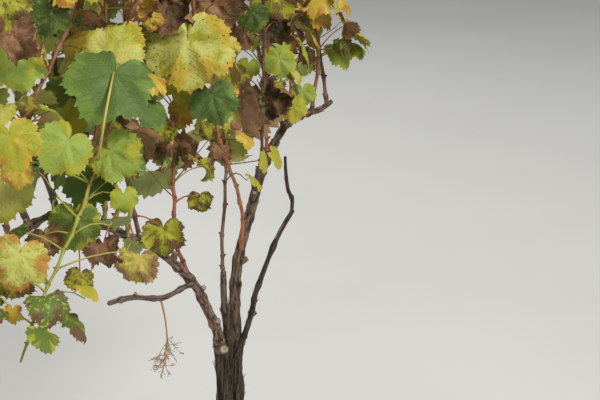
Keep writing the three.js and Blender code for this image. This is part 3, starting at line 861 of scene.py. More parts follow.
@dataclass(frozen=True)
class CaneFinish:
    """A year-old cane: smooth streaked bark, darker at the joints, paler near a green foot."""

    name: str
    dark: str
    light: str
    joint: str
    pale: str
    scale: float = 700.0
    stretch: float = 0.04
    patch_scale: float = 34.0
    patch_share: float = 0.35
    roughness: tuple[float, float] = (0.62, 0.42)
    relief: tuple[float, float] = (0.35, 0.0004)

    @cache
    def material(self) -> bpy.types.Material:
        """The cane's material, with its joints and its pale foot from the piece's attributes.

        Returns:
            The material, made on its first use.
        """
        made, board, shader = new_material(self.name)
        strands, fibres = board.group(fibre_grain(), board.attribute("grain", "Vector"), Scale=self.scale,
                                      Stretch=self.stretch)
        patches = board.group(weathering(), board.place(), Scale=self.patch_scale)["Patches"]
        colour = board.blend(strands, self.dark, self.light)
        colour = board.blend(board.maths("MULTIPLY", patches, self.patch_share), colour, self.joint)
        colour = board.blend(board.attribute("pale"), colour, self.pale)
        colour = board.blend(board.attribute("joint"), colour, self.joint)
        board.fill(shader, {"Base Color": colour,
                            "Roughness": board.spread(fibres, 0.0, 1.0, *self.roughness),
                            "Normal": board.bump(strands, *self.relief)})
        return made


@dataclass(frozen=True)
class BladeFinish:
    """A leaf or a stalk: one plain colour, with a net of fine veins in its surface."""

    roughness: tuple[float, float] = (0.5, 0.75)
    specular: float = 0.3
    relief: tuple[float, float] = (0.35, 0.0006)

    @cache
    def material(self, colour: str) -> bpy.types.Material:
        """The material of one colour.

        Args:
            colour: The plain colour, as hex.

        Returns:
            Its material, made on its first use.
        """
        made, board, shader = new_material("blade_" + colour[1:])
        net, gloss = board.group(blade_grain(), board.place())
        board.fill(shader, {"Base Color": colour, "Specular IOR Level": self.specular,
                            "Roughness": board.spread(gloss, 0.3, 0.7, *self.roughness),
                            "Normal": board.bump(net, *self.relief)})
        return made


@dataclass(frozen=True)
class CutFinish:
    """The end of a pruned stub: pale wood in rings with a dark heart and weathered patches."""

    name: str = "cut_wood"
    ring_width: float = 0.16
    late_wood: str = "#8f7f6b"
    early_wood: str = "#b3a48c"
    weathered: str = "#6d5f50"
    heart: str = "#4c3a2c"

    @cache
    def material(self) -> bpy.types.Material:
        """The cut end's material, its rings read from the piece's own ring attribute.

        Returns:
            The material, made on its first use.
        """
        made, board, shader = new_material(self.name)
        ring = board.attribute("ring")
        patches = board.group(weathering(), board.place(), Scale=160.0)["Patches"]
        rings = board.spread(board.maths("PINGPONG", ring, self.ring_width), 0.0, self.ring_width)
        colour = board.blend(rings, self.late_wood, self.early_wood)
        colour = board.blend(board.maths("MULTIPLY", patches, 0.6), colour, self.weathered)
        colour = board.blend(board.spread(ring, 0.2, 0.05), colour, self.heart)
        board.fill(shader, {"Base Color": colour, "Roughness": 0.85})
        return made


BARKS = {
    Bark.TRUNK: BarkFinish("shredding_trunk_bark", "#120d09", "#33271c", "#63513f", "#74644f", 300.0),
    Bark.ARM: BarkFinish("stringy_arm_bark", "#1f150d", "#503b2a", "#917558", "#93826b", 420.0),
    Bark.OLD_CANE: BarkFinish("old_cane_bark", "#33241d", "#654c3e", "#9c8371", "#978a7e", 620.0),
    Bark.SMOOTH_ARM: BarkFinish("smooth_arm_bark", "#301e15", "#75543f", "#b3927a", "#a4937f", 520.0, 0.4),
    Bark.DARK_BRANCH: BarkFinish("dark_branch_bark", "#140e0a", "#32261d", "#5d4b3d", "#6d6052", 560.0, 0.35),
}
CANE_BARKS = {
    CaneBark.RUSSET: CaneFinish("cane_russet", "#7b4a33", "#a9714e", "#4d3226", "#a99b52"),
    CaneBark.RED: CaneFinish("cane_red", "#85402c", "#b3674a", "#50281f", "#a9a250"),
    CaneBark.ORANGE: CaneFinish("cane_orange", "#93512f", "#c07b4c", "#5a3423", "#b0a24c"),
    CaneBark.BROWN: CaneFinish("cane_brown", "#54392b", "#83604a", "#3a261d", "#8f8146"),
    CaneBark.GREEN: CaneFinish("shoot_green", "#858b26", "#a9a83c", "#86663a", "#a9a83c"),
}
BLADE = BladeFinish()
CUT = CutFinish()


@dataclass
class Skin:
    """A limb's skin in the making, and where each vertex lies on it."""

    mesh: bpy.types.Mesh
    points: Array
    radii: Array
    batch: int = 4000

    def place_on_limb(self) -> tuple[Array, Array, Array, Array]:
        """Where the vertices lie.

        Returns:
            Each vertex, its way outwards, how far along it is, and its turn round the limb.
        """
        co = np.empty(len(self.mesh.vertices) * 3, np.float32)
        self.mesh.vertices.foreach_get("co", co)
        co = co.reshape(-1, 3).astype(float)
        tangents, sides, others = frames_along(self.points)
        travel = np.concatenate([[0.0], np.cumsum(np.linalg.norm(np.diff(self.points, axis=0), axis=1))])
        nearest = np.concatenate([
            (np.linalg.norm(part[:, None] - self.points[None], axis=2) - self.radii[None]).argmin(axis=1)
            for part in np.array_split(co, max(1, len(co) // self.batch))])
        away = co - self.points[nearest]
        along = travel[nearest] + (away * tangents[nearest]).sum(axis=1)
        across, over = (away * sides[nearest]).sum(axis=1), (away * others[nearest]).sum(axis=1)
        outward = units(sides[nearest] * across[:, None] + others[nearest] * over[:, None])
        return co, outward, along, np.arctan2(over, across)

    def write(self, co: Array, **attributes: Array) -> None:
        """Moves the vertices and gives them attributes.

        Args:
            co: The vertices' new places.
            attributes: One or three numbers for each vertex.
        """
        self.mesh.vertices.foreach_set("co", co.astype(np.float32).ravel())
        for name, values in attributes.items():
            kind, key = ("FLOAT_VECTOR", "vector") if values.ndim == 2 else ("FLOAT", "value")
            layer = self.mesh.attributes.new(name, kind, "POINT")
            layer.data.foreach_set(key, values.astype(np.float32).ravel())
        self.mesh.update()
        self.mesh.shade_smooth()


def sweep(bm: bmesh.types.BMesh, points: Array, radii: Array, sides: int) -> None:
    """Sweeps a ring along a line, ring by ring, and closes its ends.

    Args:
        bm: The mesh that it is added to.
        points: The line's points, one per row.
        radii: The radius at each point.
        sides: The number of sides.
    """
    tangents, across, over = frames_along(points)

    def pose(i: int) -> Matrix:
        """The ring's place, turn and size at a point."""
        turn = Matrix((across[i], over[i], tangents[i])).transposed().to_4x4()
        return Matrix.Translation(points[i]) @ turn @ Matrix.Scale(radii[i], 4)

    ring = bmesh.ops.create_circle(bm, segments=sides, radius=1.0)["verts"]
    edges = list(dict.fromkeys(edge for vert in ring for edge in vert.link_edges))
    bmesh.ops.transform(bm, matrix=pose(0), verts=ring)
    rims = [edges]
    for i in range(1, len(points)):
        made = bmesh.ops.extrude_edge_only(bm, edges=edges)["geom"]
        ring = [part for part in made if isinstance(part, bmesh.types.BMVert)]
        new = set(ring)
        edges = [part for part in made if isinstance(part, bmesh.types.BMEdge) and set(part.verts) <= new]
        bmesh.ops.transform(bm, matrix=pose(i) @ pose(i - 1).inverted(), verts=ring)
    rims.append(edges)
    for rim in rims:
        caps = bmesh.ops.holes_fill(bm, edges=rim, sides=0)["faces"]
        bmesh.ops.poke(bm, faces=caps)


def mesh_of(bm: bmesh.types.BMesh, name: str) -> bpy.types.Mesh:
    """A bmesh as a mesh with its faces outwards; the bmesh is freed.

    Args:
        bm: The shape.
        name: The mesh's name.

    Returns:
        The mesh.
    """
    bmesh.ops.recalc_face_normals(bm, faces=bm.faces[:])
    mesh = bpy.data.meshes.new(name)
    bm.to_mesh(mesh)
    bm.free()
    return mesh


@dataclass(frozen=True)
class BarkRelief:
    """How deep a bark's plates, strands and lumps are, and how its grain winds, in metres.

    The edges say how narrow the grooves between plates and between strands are.
    """

    plates: float = 1.7
    strands: float = 4.4
    lumps: float = 24.0
    plate_depth: float = 0.0036
    strand_depth: float = 0.0013
    lump_height: float = 0.0030
    plate_edge: float = 4.2
    strand_edge: float = 3.2
    plate_length: float = 0.11
    strand_length: float = 0.045
    winding: float = 3.2
    lift: float = 0.35

    def at(self, place: Array, along: float, turn: float, seed: float) -> tuple[float, float]:
        """The relief at one place on a limb.

        Args:
            place: The place itself.
            along: How far along the limb it is.
            turn: Its turn round the limb.
            seed: Sets one limb's bark apart from another's.

        Returns:
            How far the bark stands out there, and how deep it lies in the grooves, from 0 to 1; the material
            paints that depth as shade.
        """
        wound = turn + along * self.winding
        ring = np.array([math.cos(wound), math.sin(wound)])
        plate = noise.noise(Vector((*ring * self.plates, along / self.plate_length + seed)))
        strand = noise.noise(Vector((*ring * self.strands, along / self.strand_length - seed)))
        lump = noise.noise(Vector(place * self.lumps) + Vector((seed, 0.0, 0.0)))
        cut = max(0.0, 1.0 - abs(plate) * self.plate_edge) ** 1.3
        line = max(0.0, 1.0 - abs(strand) * self.strand_edge)
        height = self.lump_height * lump - self.plate_depth * cut - self.strand_depth * line
        height += self.plate_depth * self.lift + self.strand_depth * self.lift
        return height, min(1.0, cut + 0.45 * line)

    def carve(self, skin: Skin, seed: float, share: float = 1.0) -> None:
        """Carves the bark into a skin and writes its grain and its depth in the grooves, which the material
        paints as shade.

        Args:
            skin: The smooth skin.
            seed: Sets this limb's bark apart.
            share: The share of the full depths that this limb has.
        """
        co, outward, along, turn = skin.place_on_limb()
        told = [self.at(p, s, t, seed) for p, s, t in zip(co, along, turn)]
        height, groove = (np.array(column) for column in zip(*told))
        wound = turn + along * self.winding
        around = float(skin.radii.mean())
        grain = np.stack([np.cos(wound) * around, np.sin(wound) * around, along + seed], axis=1)
        # the depth in the grooves is written for the bark's material, which paints it as shade
        skin.write(co + outward * (height * share)[:, None], grain=grain, groove=groove)


@dataclass
class Trunk:
    """The two stems grown together, with their flare of root lobes, cut flat at the ground."""

    name: str = "trunk_bark_skin"
    sides: int = 28
    ring_length: float = 0.008
    voxel: float = 0.0015
    easing: tuple[float, int] = (0.5, 14)
    relief: BarkRelief = BarkRelief()
    relief_seed: float = 3.0
    end_length: float = 0.05
    end_share: float = 0.72
    sleeve_rings: int = 18
    sleeve_travel: tuple[float, ...] = (-0.045, -0.015, 0.015, 0.045, 0.08)
    sleeve_swell: tuple[float, ...] = (0.25, 0.9, 1.15, 1.04, 0.7)
    sleeves: tuple[str, ...] = ("left_arm", "right_arm", "looped_branch", "old_spur")

    @cached_property
    def lines(self) -> list[Line]:
        """The stems' and lobes' lines.

        Returns:
            First the stems and then the lobes, each a line and its radii.
        """
        routes = [(points, (a * MM, b * MM)) for points, (a, b) in TRUNK_STEMS]
        height = ROOT_LOBE_HEIGHT / MM
        for i in range(ROOT_LOBES):
            turn = (i + 0.35) / ROOT_LOBES * FULL_TURN
            x = math.cos(turn) * ROOT_LOBE_REACH / MM
            y = math.sin(turn) * ROOT_LOBE_REACH * ROOT_FLATNESS / MM
            path = [(x, y, -BELOW_GROUND / MM), (x * 0.55, y * 0.55, height * 0.35),
                    (x * 0.4, y * 0.3, height)]
            routes.append((path, ROOT_LOBE_RADII))
        return [self.tapered(Curve(points), *ends) for points, ends in routes]

    def tapered(self, curve: Curve, first: float, last: float) -> Line:
        """One stem or lobe, drawn in at its end.

        Args:
            curve: Its route.
            first: Its radius at the foot.
            last: Its radius at the end.

        Returns:
            Its line and its radii.
        """
        shares = np.linspace(0.0, 1.0, max(5, round(curve.length / self.ring_length)))
        to_end = (1.0 - shares) * curve.length
        radii = first + (last - first) * shares
        return curve.sampled(shares), radii * np.interp(to_end, [0, self.end_length], [self.end_share, 1])

    def sleeve(self, plan: LimbPlan) -> Line:
        """The foot of a limb that forks from the trunk, thinning until the limb's own skin shows.

        Args:
            plan: The limb's plan.

        Returns:
            The sleeve's line and its radii.
        """
        curve = Curve(plan.path)
        travel = np.linspace(self.sleeve_travel[0], self.sleeve_travel[-1], self.sleeve_rings)
        back = curve.heading(0.002)
        points = [curve.at(t / curve.length) + back * min(t, 0.0) for t in travel]
        return np.array(points), plan.radii[0] * MM * np.interp(travel, self.sleeve_travel, self.sleeve_swell)

    def build(self) -> Piece:
        """Grows the stems into one skin, carves its bark and cuts it at the ground.

        Returns:
            The piece.
        """
        sleeves = [self.sleeve(plan) for plan in LIMBS if plan.name in self.sleeves]
        mesh = self.grown_together(self.lines + sleeves)
        stems = self.lines[:len(TRUNK_STEMS)] + sleeves
        skin = Skin(mesh, np.vstack([line for line, _ in stems]), np.concatenate([r for _, r in stems]))
        self.relief.carve(skin, self.relief_seed)
        bm = bmesh.new()
        bm.from_mesh(mesh)
        cut = bmesh.ops.bisect_plane(bm, geom=bm.verts[:] + bm.edges[:] + bm.faces[:], plane_co=(0, 0, 0),
                                     plane_no=(0, 0, 1), clear_inner=True)
        rim = [part for part in cut["geom_cut"] if isinstance(part, bmesh.types.BMEdge)]
        bmesh.ops.holes_fill(bm, edges=rim, sides=0)
        bm.to_mesh(mesh)
        bm.free()
        mesh.materials.append(BARKS[Bark.TRUNK].material())
        piece = placed(mesh, "trunk_bark")
        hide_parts("trunk")
        return piece

    def grown_together(self, lines: Sequence[Line]) -> bpy.types.Mesh:
        """Sweeps stems, lobes and sleeves, and merges them into one smooth skin.

        Args:
            lines: Their lines and radii.

        Returns:
            The skin.
        """
        bm = bmesh.new()
        for points, radii in lines:
            sweep(bm, points, radii, self.sides)
        core = mesh_of(bm, "trunk_core")
        rough = bpy.data.objects.new("trunk_core", core)
        bpy.context.scene.collection.objects.link(rough)
        merge = rough.modifiers.new("grown_together", "REMESH")
        merge.mode, merge.voxel_size = "VOXEL", self.voxel
        ease = rough.modifiers.new("eased", "SMOOTH")
        ease.factor, ease.iterations = self.easing
        bpy.context.view_layer.update()
        mesh = bpy.data.meshes.new_from_object(rough.evaluated_get(bpy.context.evaluated_depsgraph_get()))
        bpy.data.objects.remove(rough)
        bpy.data.meshes.remove(core)
        mesh.name = self.name
        return mesh


@dataclass
class Limb:
    """One arm, cordon or old branch: a tapering limb with carved bark and knots."""

    plan: LimbPlan
    number: int
    sides: int = 26
    ring_length: float = 0.0028
    knot_spacing: float = 0.055
    knot_height: float = 0.0022
    knot_length: float = 0.007
    swell_length: float = 0.018
    foot_taper: tuple[float, float] = (0.03, 0.7)
    tip_share: float = 0.2
    full_radius: float = 11.0
    relief_share: float = 0.62
    seeds: tuple[float, float] = (11.0, 7.0)
    relief: BarkRelief = BarkRelief(1.3, 3.6, winding=5.0, plate_length=0.05, strand_length=0.022)

    @cached_property
    def curve(self) -> Curve:
        """The limb's route."""
        return Curve(self.plan.path)

    def radius(self, share: float) -> float:
        """The limb's radius before its bark, swelling at its knots and where it leaves the one below.

        Args:
            share: How far along it is, from 0 to 1.

        Returns:
            The radius there.
        """
        first, last = (r * MM for r in self.plan.radii)
        travel = share * self.curve.length
        swell = 1.0 + self.plan.foot_swell * math.exp(-travel / self.swell_length)
        knots = 0.0
        for i in range(1, int(self.curve.length / self.knot_spacing)):
            place = (i + 0.35 * math.sin(i * 5.1 + self.number)) * self.knot_spacing
            knots += math.exp(-((travel - place) / self.knot_length) ** 2)
        return (first + (last - first) * share) * swell + knots * self.knot_height * self.plan.roughness

    @cached_property
    def line(self) -> Line:
        """The limb's line and its radii, rounded off at the tip.

        Returns:
            The points, one per row, and the radius at each.
        """
        shares = np.linspace(0.0, 1.0, round(self.curve.length / self.ring_length))
        radii = np.array([self.radius(share) for share in shares])
        foot_length, foot_share = self.foot_taper
        radii *= np.interp(shares * self.curve.length, [0, foot_length], [foot_share, 1.0])
        to_tip = (1.0 - shares) * self.curve.length / radii[-1]
        radii *= np.clip(np.sqrt(1.0 - np.clip(1.0 - to_tip, 0.0, 1.0) ** 2), self.tip_share, 1.0)
        return self.curve.sampled(shares), radii

    def build(self) -> Piece:
        """Sweeps the limb and carves its bark.

        Returns:
            The piece.
        """
        points, radii = self.line
        bm = bmesh.new()
        sweep(bm, points, radii, self.sides)
        skin = Skin(mesh_of(bm, self.plan.name + "_bark_skin"), points, radii)
        share = min(1.0, self.plan.radii[0] / self.full_radius) * self.relief_share * self.plan.roughness
        first_seed, apart = self.seeds
        self.relief.carve(skin, first_seed + apart * self.number, share)
        skin.mesh.materials.append(BARKS[self.plan.bark].material())
        piece = placed(skin.mesh, self.plan.slot)
        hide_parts(self.plan.name)
        return piece


def cane_points(plan: ShootPlan, number: int) -> list[Sequence[float]]:
    """The control points of a cane, from its foot to its tip, drawn as the source draws them.

    Args:
        plan: The cane's plan.
        number: Its place in the list of shoots.

    Returns:
        The points, in millimetres.
    """
    run = SeededRun(CANE_SEEDS + number)
    points: list[Sequence[float]] = [plan.foot]
    for share in () if plan.path else (0.25, 0.5, 0.75, 1.0):
        sway = CANE_SWAY / MM * math.sin(share * math.pi)
        x = plan.foot[0] + (plan.crest[0] - plan.foot[0]) * share ** 1.3 + (run.next() - 0.5) * sway
        y = plan.foot[1] + (plan.crest[1] - plan.foot[1]) * share ** 0.8 + (run.next() - 0.5) * sway
        points.append((x, y, plan.foot[2] + (plan.crest[2] - plan.foot[2]) * share))
    points += plan.path or []
    if plan.drooping:
        return points
    heading = run.next() * FULL_TURN
    nod = NOD_REACH / MM * (0.5 + run.next())
    x, y, z = points[-1]
    return [*points, (x + math.cos(heading) * nod, y + math.sin(heading) * nod / 2, z + NOD_RISE / MM)]


@dataclass
class Cane:
    """One of the year's canes: its line, its joints and its bark."""

    plan: ShootPlan
    number: int
    joint_length: float = 0.0045
    joint_swell: float = 0.42
    joint_spacing: float = 0.07
    zigzag: float = 0.0016
    sides: int = 10
    ring_length: float = 0.0045
    slimness: float = 0.94
    foot_swell: float = 0.5
    foot_length: float = 0.012
    ribs: tuple[float, float] = (0.035, 0.03)
    pale_fade: float = 0.03
    palest: float = 0.85
    joint_tint: float = 0.75

    def __post_init__(self) -> None:
        """Lays the cane's line and its joints."""
        bare = self.plan.bare
        self.curve = Curve(cane_points(self.plan, self.number))
        self.rings = max(3, round(self.curve.length / CANE_RING_LENGTH))
        self.ring_points = self.curve.sampled([i / self.rings for i in range(self.rings + 1)])
        leafy = LAST_LEAF - bare
        count = math.floor(self.curve.length * leafy / LEAF_SPACING)
        self.leaf_shares = [bare + leafy * (node + 0.5) / count for node in range(count)]
        bare_joints = max(1, round(bare * self.curve.length / self.joint_spacing))
        lower = [bare * (i + 0.5) / bare_joints for i in range(bare_joints)]
        self.joints = np.array(sorted(lower + self.leaf_shares))
        self.steps = np.arange(2, CANE_STEPS) / CANE_STEPS
        self.step_points = np.array([self.axis_point(share) for share in self.steps])

    def axis_point(self, share: float) -> Array:
        """A point of the frame's faceted axis.

        Args:
            share: How far along it is, from 0 to 1.

        Returns:
            The point.
        """
        ring = min(share * self.rings, self.rings - 1e-6)
        below = int(ring)
        start, end = self.ring_points[below:below + 2]
        return start + (end - start) * (ring - below)

    def wood_point(self, share: float) -> Array:
        """A point of the cane's own line, which turns a little at each joint.

        Args:
            share: How far along it is, from 0 to 1.

        Returns:
            The point.
        """
        after = int(np.searchsorted(self.joints, share))
        low = self.joints[after - 1] if after > 0 else 0.0
        high = self.joints[after] if after < len(self.joints) else 1.0
        part = (share - low) / max(high - low, 1e-6)
        swing = (1 - 2 * part) * (1 if after % 2 else -1) * self.zigzag * min(1.0, share * 8, (1 - share) * 8)
        across = unit(np.cross(self.curve.heading(share), np.array([0.3, 1.0, 0.1])))
        return self.curve.at(share) + across * swing

    def radius(self, share: float) -> float:
        """The cane's radius before its joints."""
        return CANE_RADIUS + (CANE_TIP_RADIUS - CANE_RADIUS) * share

    def nearest(self, place: Array) -> tuple[float, float]:
        """The share along the cane where it passes nearest to a place, and how far off that is."""
        away = np.linalg.norm(self.step_points - place, axis=1)
        return float(self.steps[away.argmin()]), float(away.min())

    def build(self) -> Piece:
        """Sweeps the cane with its swollen joints and dresses it.

        Returns:
            The piece.
        """
        length = self.curve.length
        shares = np.linspace(0.0, 1.0, round(length / self.ring_length))
        points = np.array([self.wood_point(share) for share in shares])
        to_joint = np.abs(shares[:, None] - self.joints[None]).min(axis=1) * length
        near_joint = np.exp(-(to_joint / self.joint_length) ** 2)
        radii = np.array([self.radius(share) for share in shares])
        radii = radii * (self.slimness + self.joint_swell * near_joint)
        radii *= 1.0 + self.foot_swell * np.exp(-shares * length / self.foot_length)
        bm = bmesh.new()
        sweep(bm, points, radii, self.sides)
        skin = Skin(mesh_of(bm, self.plan.name.replace("shoot", "cane")), points, radii)
        co, outward, along, turn = skin.place_on_limb()
        ribs = self.ribs[0] * np.cos(turn * 5) + self.ribs[1] * np.cos(turn * 2 + self.number)
        share_of = np.clip(along / length, 0.0, 1.0)
        radius = np.interp(share_of, shares, radii)
        joint = np.interp(share_of, shares, near_joint)
        foot = self.plan.pale_foot
        pale = np.zeros(len(along))
        if foot:
            pale = np.clip((foot - along) / self.pale_fade + 0.5, 0.0, self.palest)
        grain = np.stack([np.cos(turn) * radius, np.sin(turn) * radius, along + self.number], axis=1)
        skin.write(co + outward * (ribs * radius)[:, None], grain=grain,
                   joint=joint ** 2 * self.joint_tint, pale=pale)
        skin.mesh.materials.append(CANE_BARKS[self.plan.bark].material())
        piece = placed(skin.mesh, "green_shoot" if self.plan.drooping else "cane_bark")
        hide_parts(self.plan.name)
        return piece


# A blade's outline from its tip round to the notch: degrees from the midrib, reach in leaf widths
LOBES = np.array([
    (0, 0.72), (6, 0.635), (12, 0.66), (18, 0.57), (23, 0.59), (29, 0.5), (35, 0.555), (39, 0.605),
    (45, 0.565), (52.8, 0.628), (59, 0.55), (64, 0.575), (71, 0.49), (76, 0.505), (84, 0.43), (91, 0.475),
    (96, 0.49), (103, 0.435), (112, 0.453), (120, 0.39), (127, 0.41), (138, 0.345), (145, 0.35),
    (160, 0.24), (180, 0.03)])
VEIN_TURNS = (0.0, 52.8, 112.0)
INNER_TURNS = (0, 27, 52.8, 82, 112, 145)

# The even rings inside a blade: the share of the outline, and how many points
MIDDLE_RINGS = ((0.22, 10), (0.42, 18), (0.6, 26), (0.78, 34))
LARGE_RINGS = ((0.1, 12), (0.2, 24), (0.3, 36), (0.4, 48), (0.5, 60), (0.6, 72), (0.69, 82), (0.78, 92),
               (0.86, 102), (0.93, 112), (1.0, 124))


def outline_reach(turn: Array | float) -> Array | float:
    """How far a blade reaches at a turn from its midrib, in leaf widths."""
    return np.interp(np.abs(np.degrees(turn)), LOBES[:, 0], LOBES[:, 1])


def between_veins(turn: Array) -> Array:
    """How far a turn lies from the main veins: 0 on one, 1 midway between two."""
    bends = np.array([0, 27, 52.8, 82, 112, 150, 180])
    return np.interp(np.abs(np.degrees(turn)), bends, [0, 1, 0, 1, 0, 0.8, 0.2])


class BladeMaster:
    """A flat blade as a thin closed shell: two skins that share their margin."""

    def __init__(self, rings: Sequence[Ring], teeth: float = 0.0) -> None:
        """Lays the rings out and stitches them.

        Args:
            rings: From the inside out, each ring's share of the outline and its turns in radians.
            teeth: How far the margin's teeth stand in and out, as a share of its reach.
        """
        along, out, edge = [0.0], [0.0], [0.0]
        loops = []
        for share, turns in rings:
            reach = outline_reach(turns) * share
            if share >= 1.0:
                reach = reach * (1.0 + teeth * np.where(np.arange(len(turns)) % 2, -1.0, 1.0))
            loops.append(list(range(len(along), len(along) + len(turns))))
            along += list(reach * np.cos(turns))
            out += list(reach * np.sin(turns))
            edge += [share] * len(turns)
        count, inside = len(along), loops[-1][0]
        faces = [(0, here, after) for here, after in zip(loops[0], loops[0][1:] + loops[0][:1])]
        for (_, inner_turns), (_, outer_turns), inner, outer in zip(rings, rings[1:], loops, loops[1:]):
            faces += self.stitch(inner, outer, inner_turns, outer_turns)
        lower = [tuple(v + count if v < inside else v for v in face) for face in faces]
        self.faces = np.array([face[::-1] for face in faces] + lower)
        self.upper = np.arange(len(self.faces)) < len(faces)
        self.along, self.out, self.edge = (np.array(row + row[:inside]) for row in (along, out, edge))
        side = np.ones(count + inside)
        side[count:] = -1.0
        self.lift = side * (1.0 - self.edge)
        self.rim = self.edge >= 1.0
        self.face_place = np.stack([self.along, self.out], axis=1)[self.faces].mean(axis=1)
        self.face_edge = self.edge[self.faces].mean(axis=1)
        self.face_gap = between_veins(np.arctan2(self.face_place[:, 1], self.face_place[:, 0]))

    def faces_told(self) -> Iterator[tuple[Array, float, float, bool]]:
        """Each face's middle, its nearness to the margin and to a vein, and whether it is an upper one."""
        return zip(self.face_place, self.face_edge, self.face_gap, self.upper)

    @staticmethod
    def stitch(inner: list[int], outer: list[int], inner_turns: Array, outer_turns: Array
               ) -> list[tuple[int, int, int]]:
        """Triangles between two rings of different counts, taken in order of turn.

        Args:
            inner: The inner ring's vertices.
            outer: The outer ring's vertices.
            inner_turns: Where the inner ones are.
            outer_turns: Where the outer ones are.

        Returns:
            The triangles.
        """
        faces, i, j = [], 0, 0
        while i < len(inner) or j < len(outer):
            next_inner = inner_turns[i + 1] if i + 1 < len(inner) else inner_turns[0] + FULL_TURN
            next_outer = outer_turns[j + 1] if j + 1 < len(outer) else outer_turns[0] + FULL_TURN
            a, b = inner[i % len(inner)], outer[j % len(outer)]
            if j < len(outer) and (i >= len(inner) or next_outer <= next_inner):
                j += 1
                faces.append((a, b, outer[j % len(outer)]))
            else:
                i += 1
                faces.append((a, b, inner[i % len(inner)]))
        return faces


def turns_of(degrees: Sequence[float]) -> Array:
    """Turns on both sides of the midrib, in order and in radians, from half of them in degrees."""
    half = {float(turn) for turn in degrees if turn < 180}
    return np.radians(np.array(sorted({-turn for turn in half} | half | {-180.0})))


def even_rings(rings: Sequence[tuple[float, int]]) -> list[Ring]:
    """Rings with evenly spread points, from each one's share of the outline and its count."""
    return [(share, np.linspace(-math.pi, math.pi, count, endpoint=False)) for share, count in rings]


@dataclass(frozen=True)
class BladeShape:
    """How one blade bends away from flat; lengths are in leaf widths and bends per leaf width."""

    cup: float
    pucker: float
    wave: float
    phase: float
    bend: float
    roll: float
    twist: float
    crumple: float
    lobing: float
    seed: float

    @classmethod
    def drawn(cls, run: SeededRun, cup: float, crumple: float) -> "BladeShape":
        """The shape of one leaf.

        Args:
            run: The leaf's own run of numbers.
            cup: How far its margins fall back.
            crumple: How dry and crumpled it is, from 0 to 1.

        Returns:
            The shape.
        """
        return cls(
            cup=cup,
            pucker=run.between(0.02, 0.05) * (1 + crumple),
            wave=run.between(0.015, 0.05) * (1 + crumple),
            phase=run.between(0, FULL_TURN),
            bend=run.between(0.2, 0.9) + crumple * run.between(0.3, 2.2),
            roll=run.between(-0.3, 0.6) + crumple * run.between(2.2, 5.2) * (1 if run.next() < 0.7 else -1),
            twist=run.between(-0.4, 0.4) * (1 + 3 * crumple),
            crumple=crumple * run.between(0.1, 0.2),
            lobing=run.between(-0.1, 0.16),
            seed=run.between(0, 100))

    def facing(self, fold: float, run: SeededRun) -> "BladeShape":
        """The shape of a large leaf that faces the alley, which only its fold bends far.

        Args:
            fold: How far it has dried and folded.
            run: The leaf's own run of numbers.

        Returns:
            The shape.
        """
        return replace(self, pucker=0.07, wave=0.04 + fold * 0.04, bend=0.45 + fold,
                       roll=fold * 3.4 + run.between(-0.5, 0.5), twist=self.twist * (0.4 + fold),
                       crumple=0.02 + 0.14 * fold, lobing=0.06)

    def surface(self, along: Array, out: Array, lift: Array | float = 0.0) -> Array:
        """Where places of the flat blade come to lie.

        Args:
            along: How far each is along the midrib, in leaf widths.
            out: How far each is out from it.
            lift: How far each stands off the blade's middle layer.

        Returns:
            Places along the tip's way, the upper face's and sideways, one per row.
        """
        turn, reach = np.arctan2(out, along), np.hypot(along, out)
        edge = np.clip(reach / np.maximum(outline_reach(turn), 1e-6), 0.0, 1.1)
        gap = between_veins(turn)
        deeper = 1.0 + self.lobing * gap * edge ** 2 * (np.abs(turn) < 2.2)
        a, b = along * deeper, out * deeper
        height = -self.cup * ((a - BLADE_CENTRE) ** 2 + b ** 2)
        height += self.pucker * gap * edge * (1.15 - edge) * 1.6
        height += self.wave * edge ** 3 * np.sin(6 * turn + self.phase)
        if self.crumple:
            height += self.crumple * self.roughness(a, b) * (0.3 + edge)
        height += lift
        rolled = self.roll * (0.4 + 0.6 * np.clip(a + 0.3, 0, 1))
        rolled = np.where(np.abs(rolled) < LEAST_BEND, LEAST_BEND, rolled)
        side, rise = np.sin(rolled * b) / rolled, (1 - np.cos(rolled * b)) / rolled
        side, rise = side - height * np.sin(rolled * b), rise + height * np.cos(rolled * b)
        bend = self.bend if abs(self.bend) > LEAST_BEND else LEAST_BEND
        on, fall = np.sin(bend * a) / bend, (1 - np.cos(bend * a)) / bend
        forward, upward = on + rise * np.sin(bend * a), -fall + rise * np.cos(bend * a)
        cos, sin = np.cos(self.twist * a), np.sin(self.twist * a)
        return np.stack([forward, upward * cos - side * sin, side * cos + upward * sin], axis=1)

    def roughness(self, along: Array, out: Array) -> Array:
        """The crumpled blade's bumps: broad ones with finer ones on them.

        Args:
            along: How far each place is along the midrib, in leaf widths.
            out: How far each is out from it.

        Returns:
            A height for each place.
        """
        seed = self.seed
        broad = [noise.noise(Vector((x * 5 + seed, y * 5, seed))) for x, y in zip(along, out)]
        fine = [noise.noise(Vector((x * 13, y * 13 + seed, -seed))) for x, y in zip(along, out)]
        return np.array(broad) + 0.45 * np.array(fine)


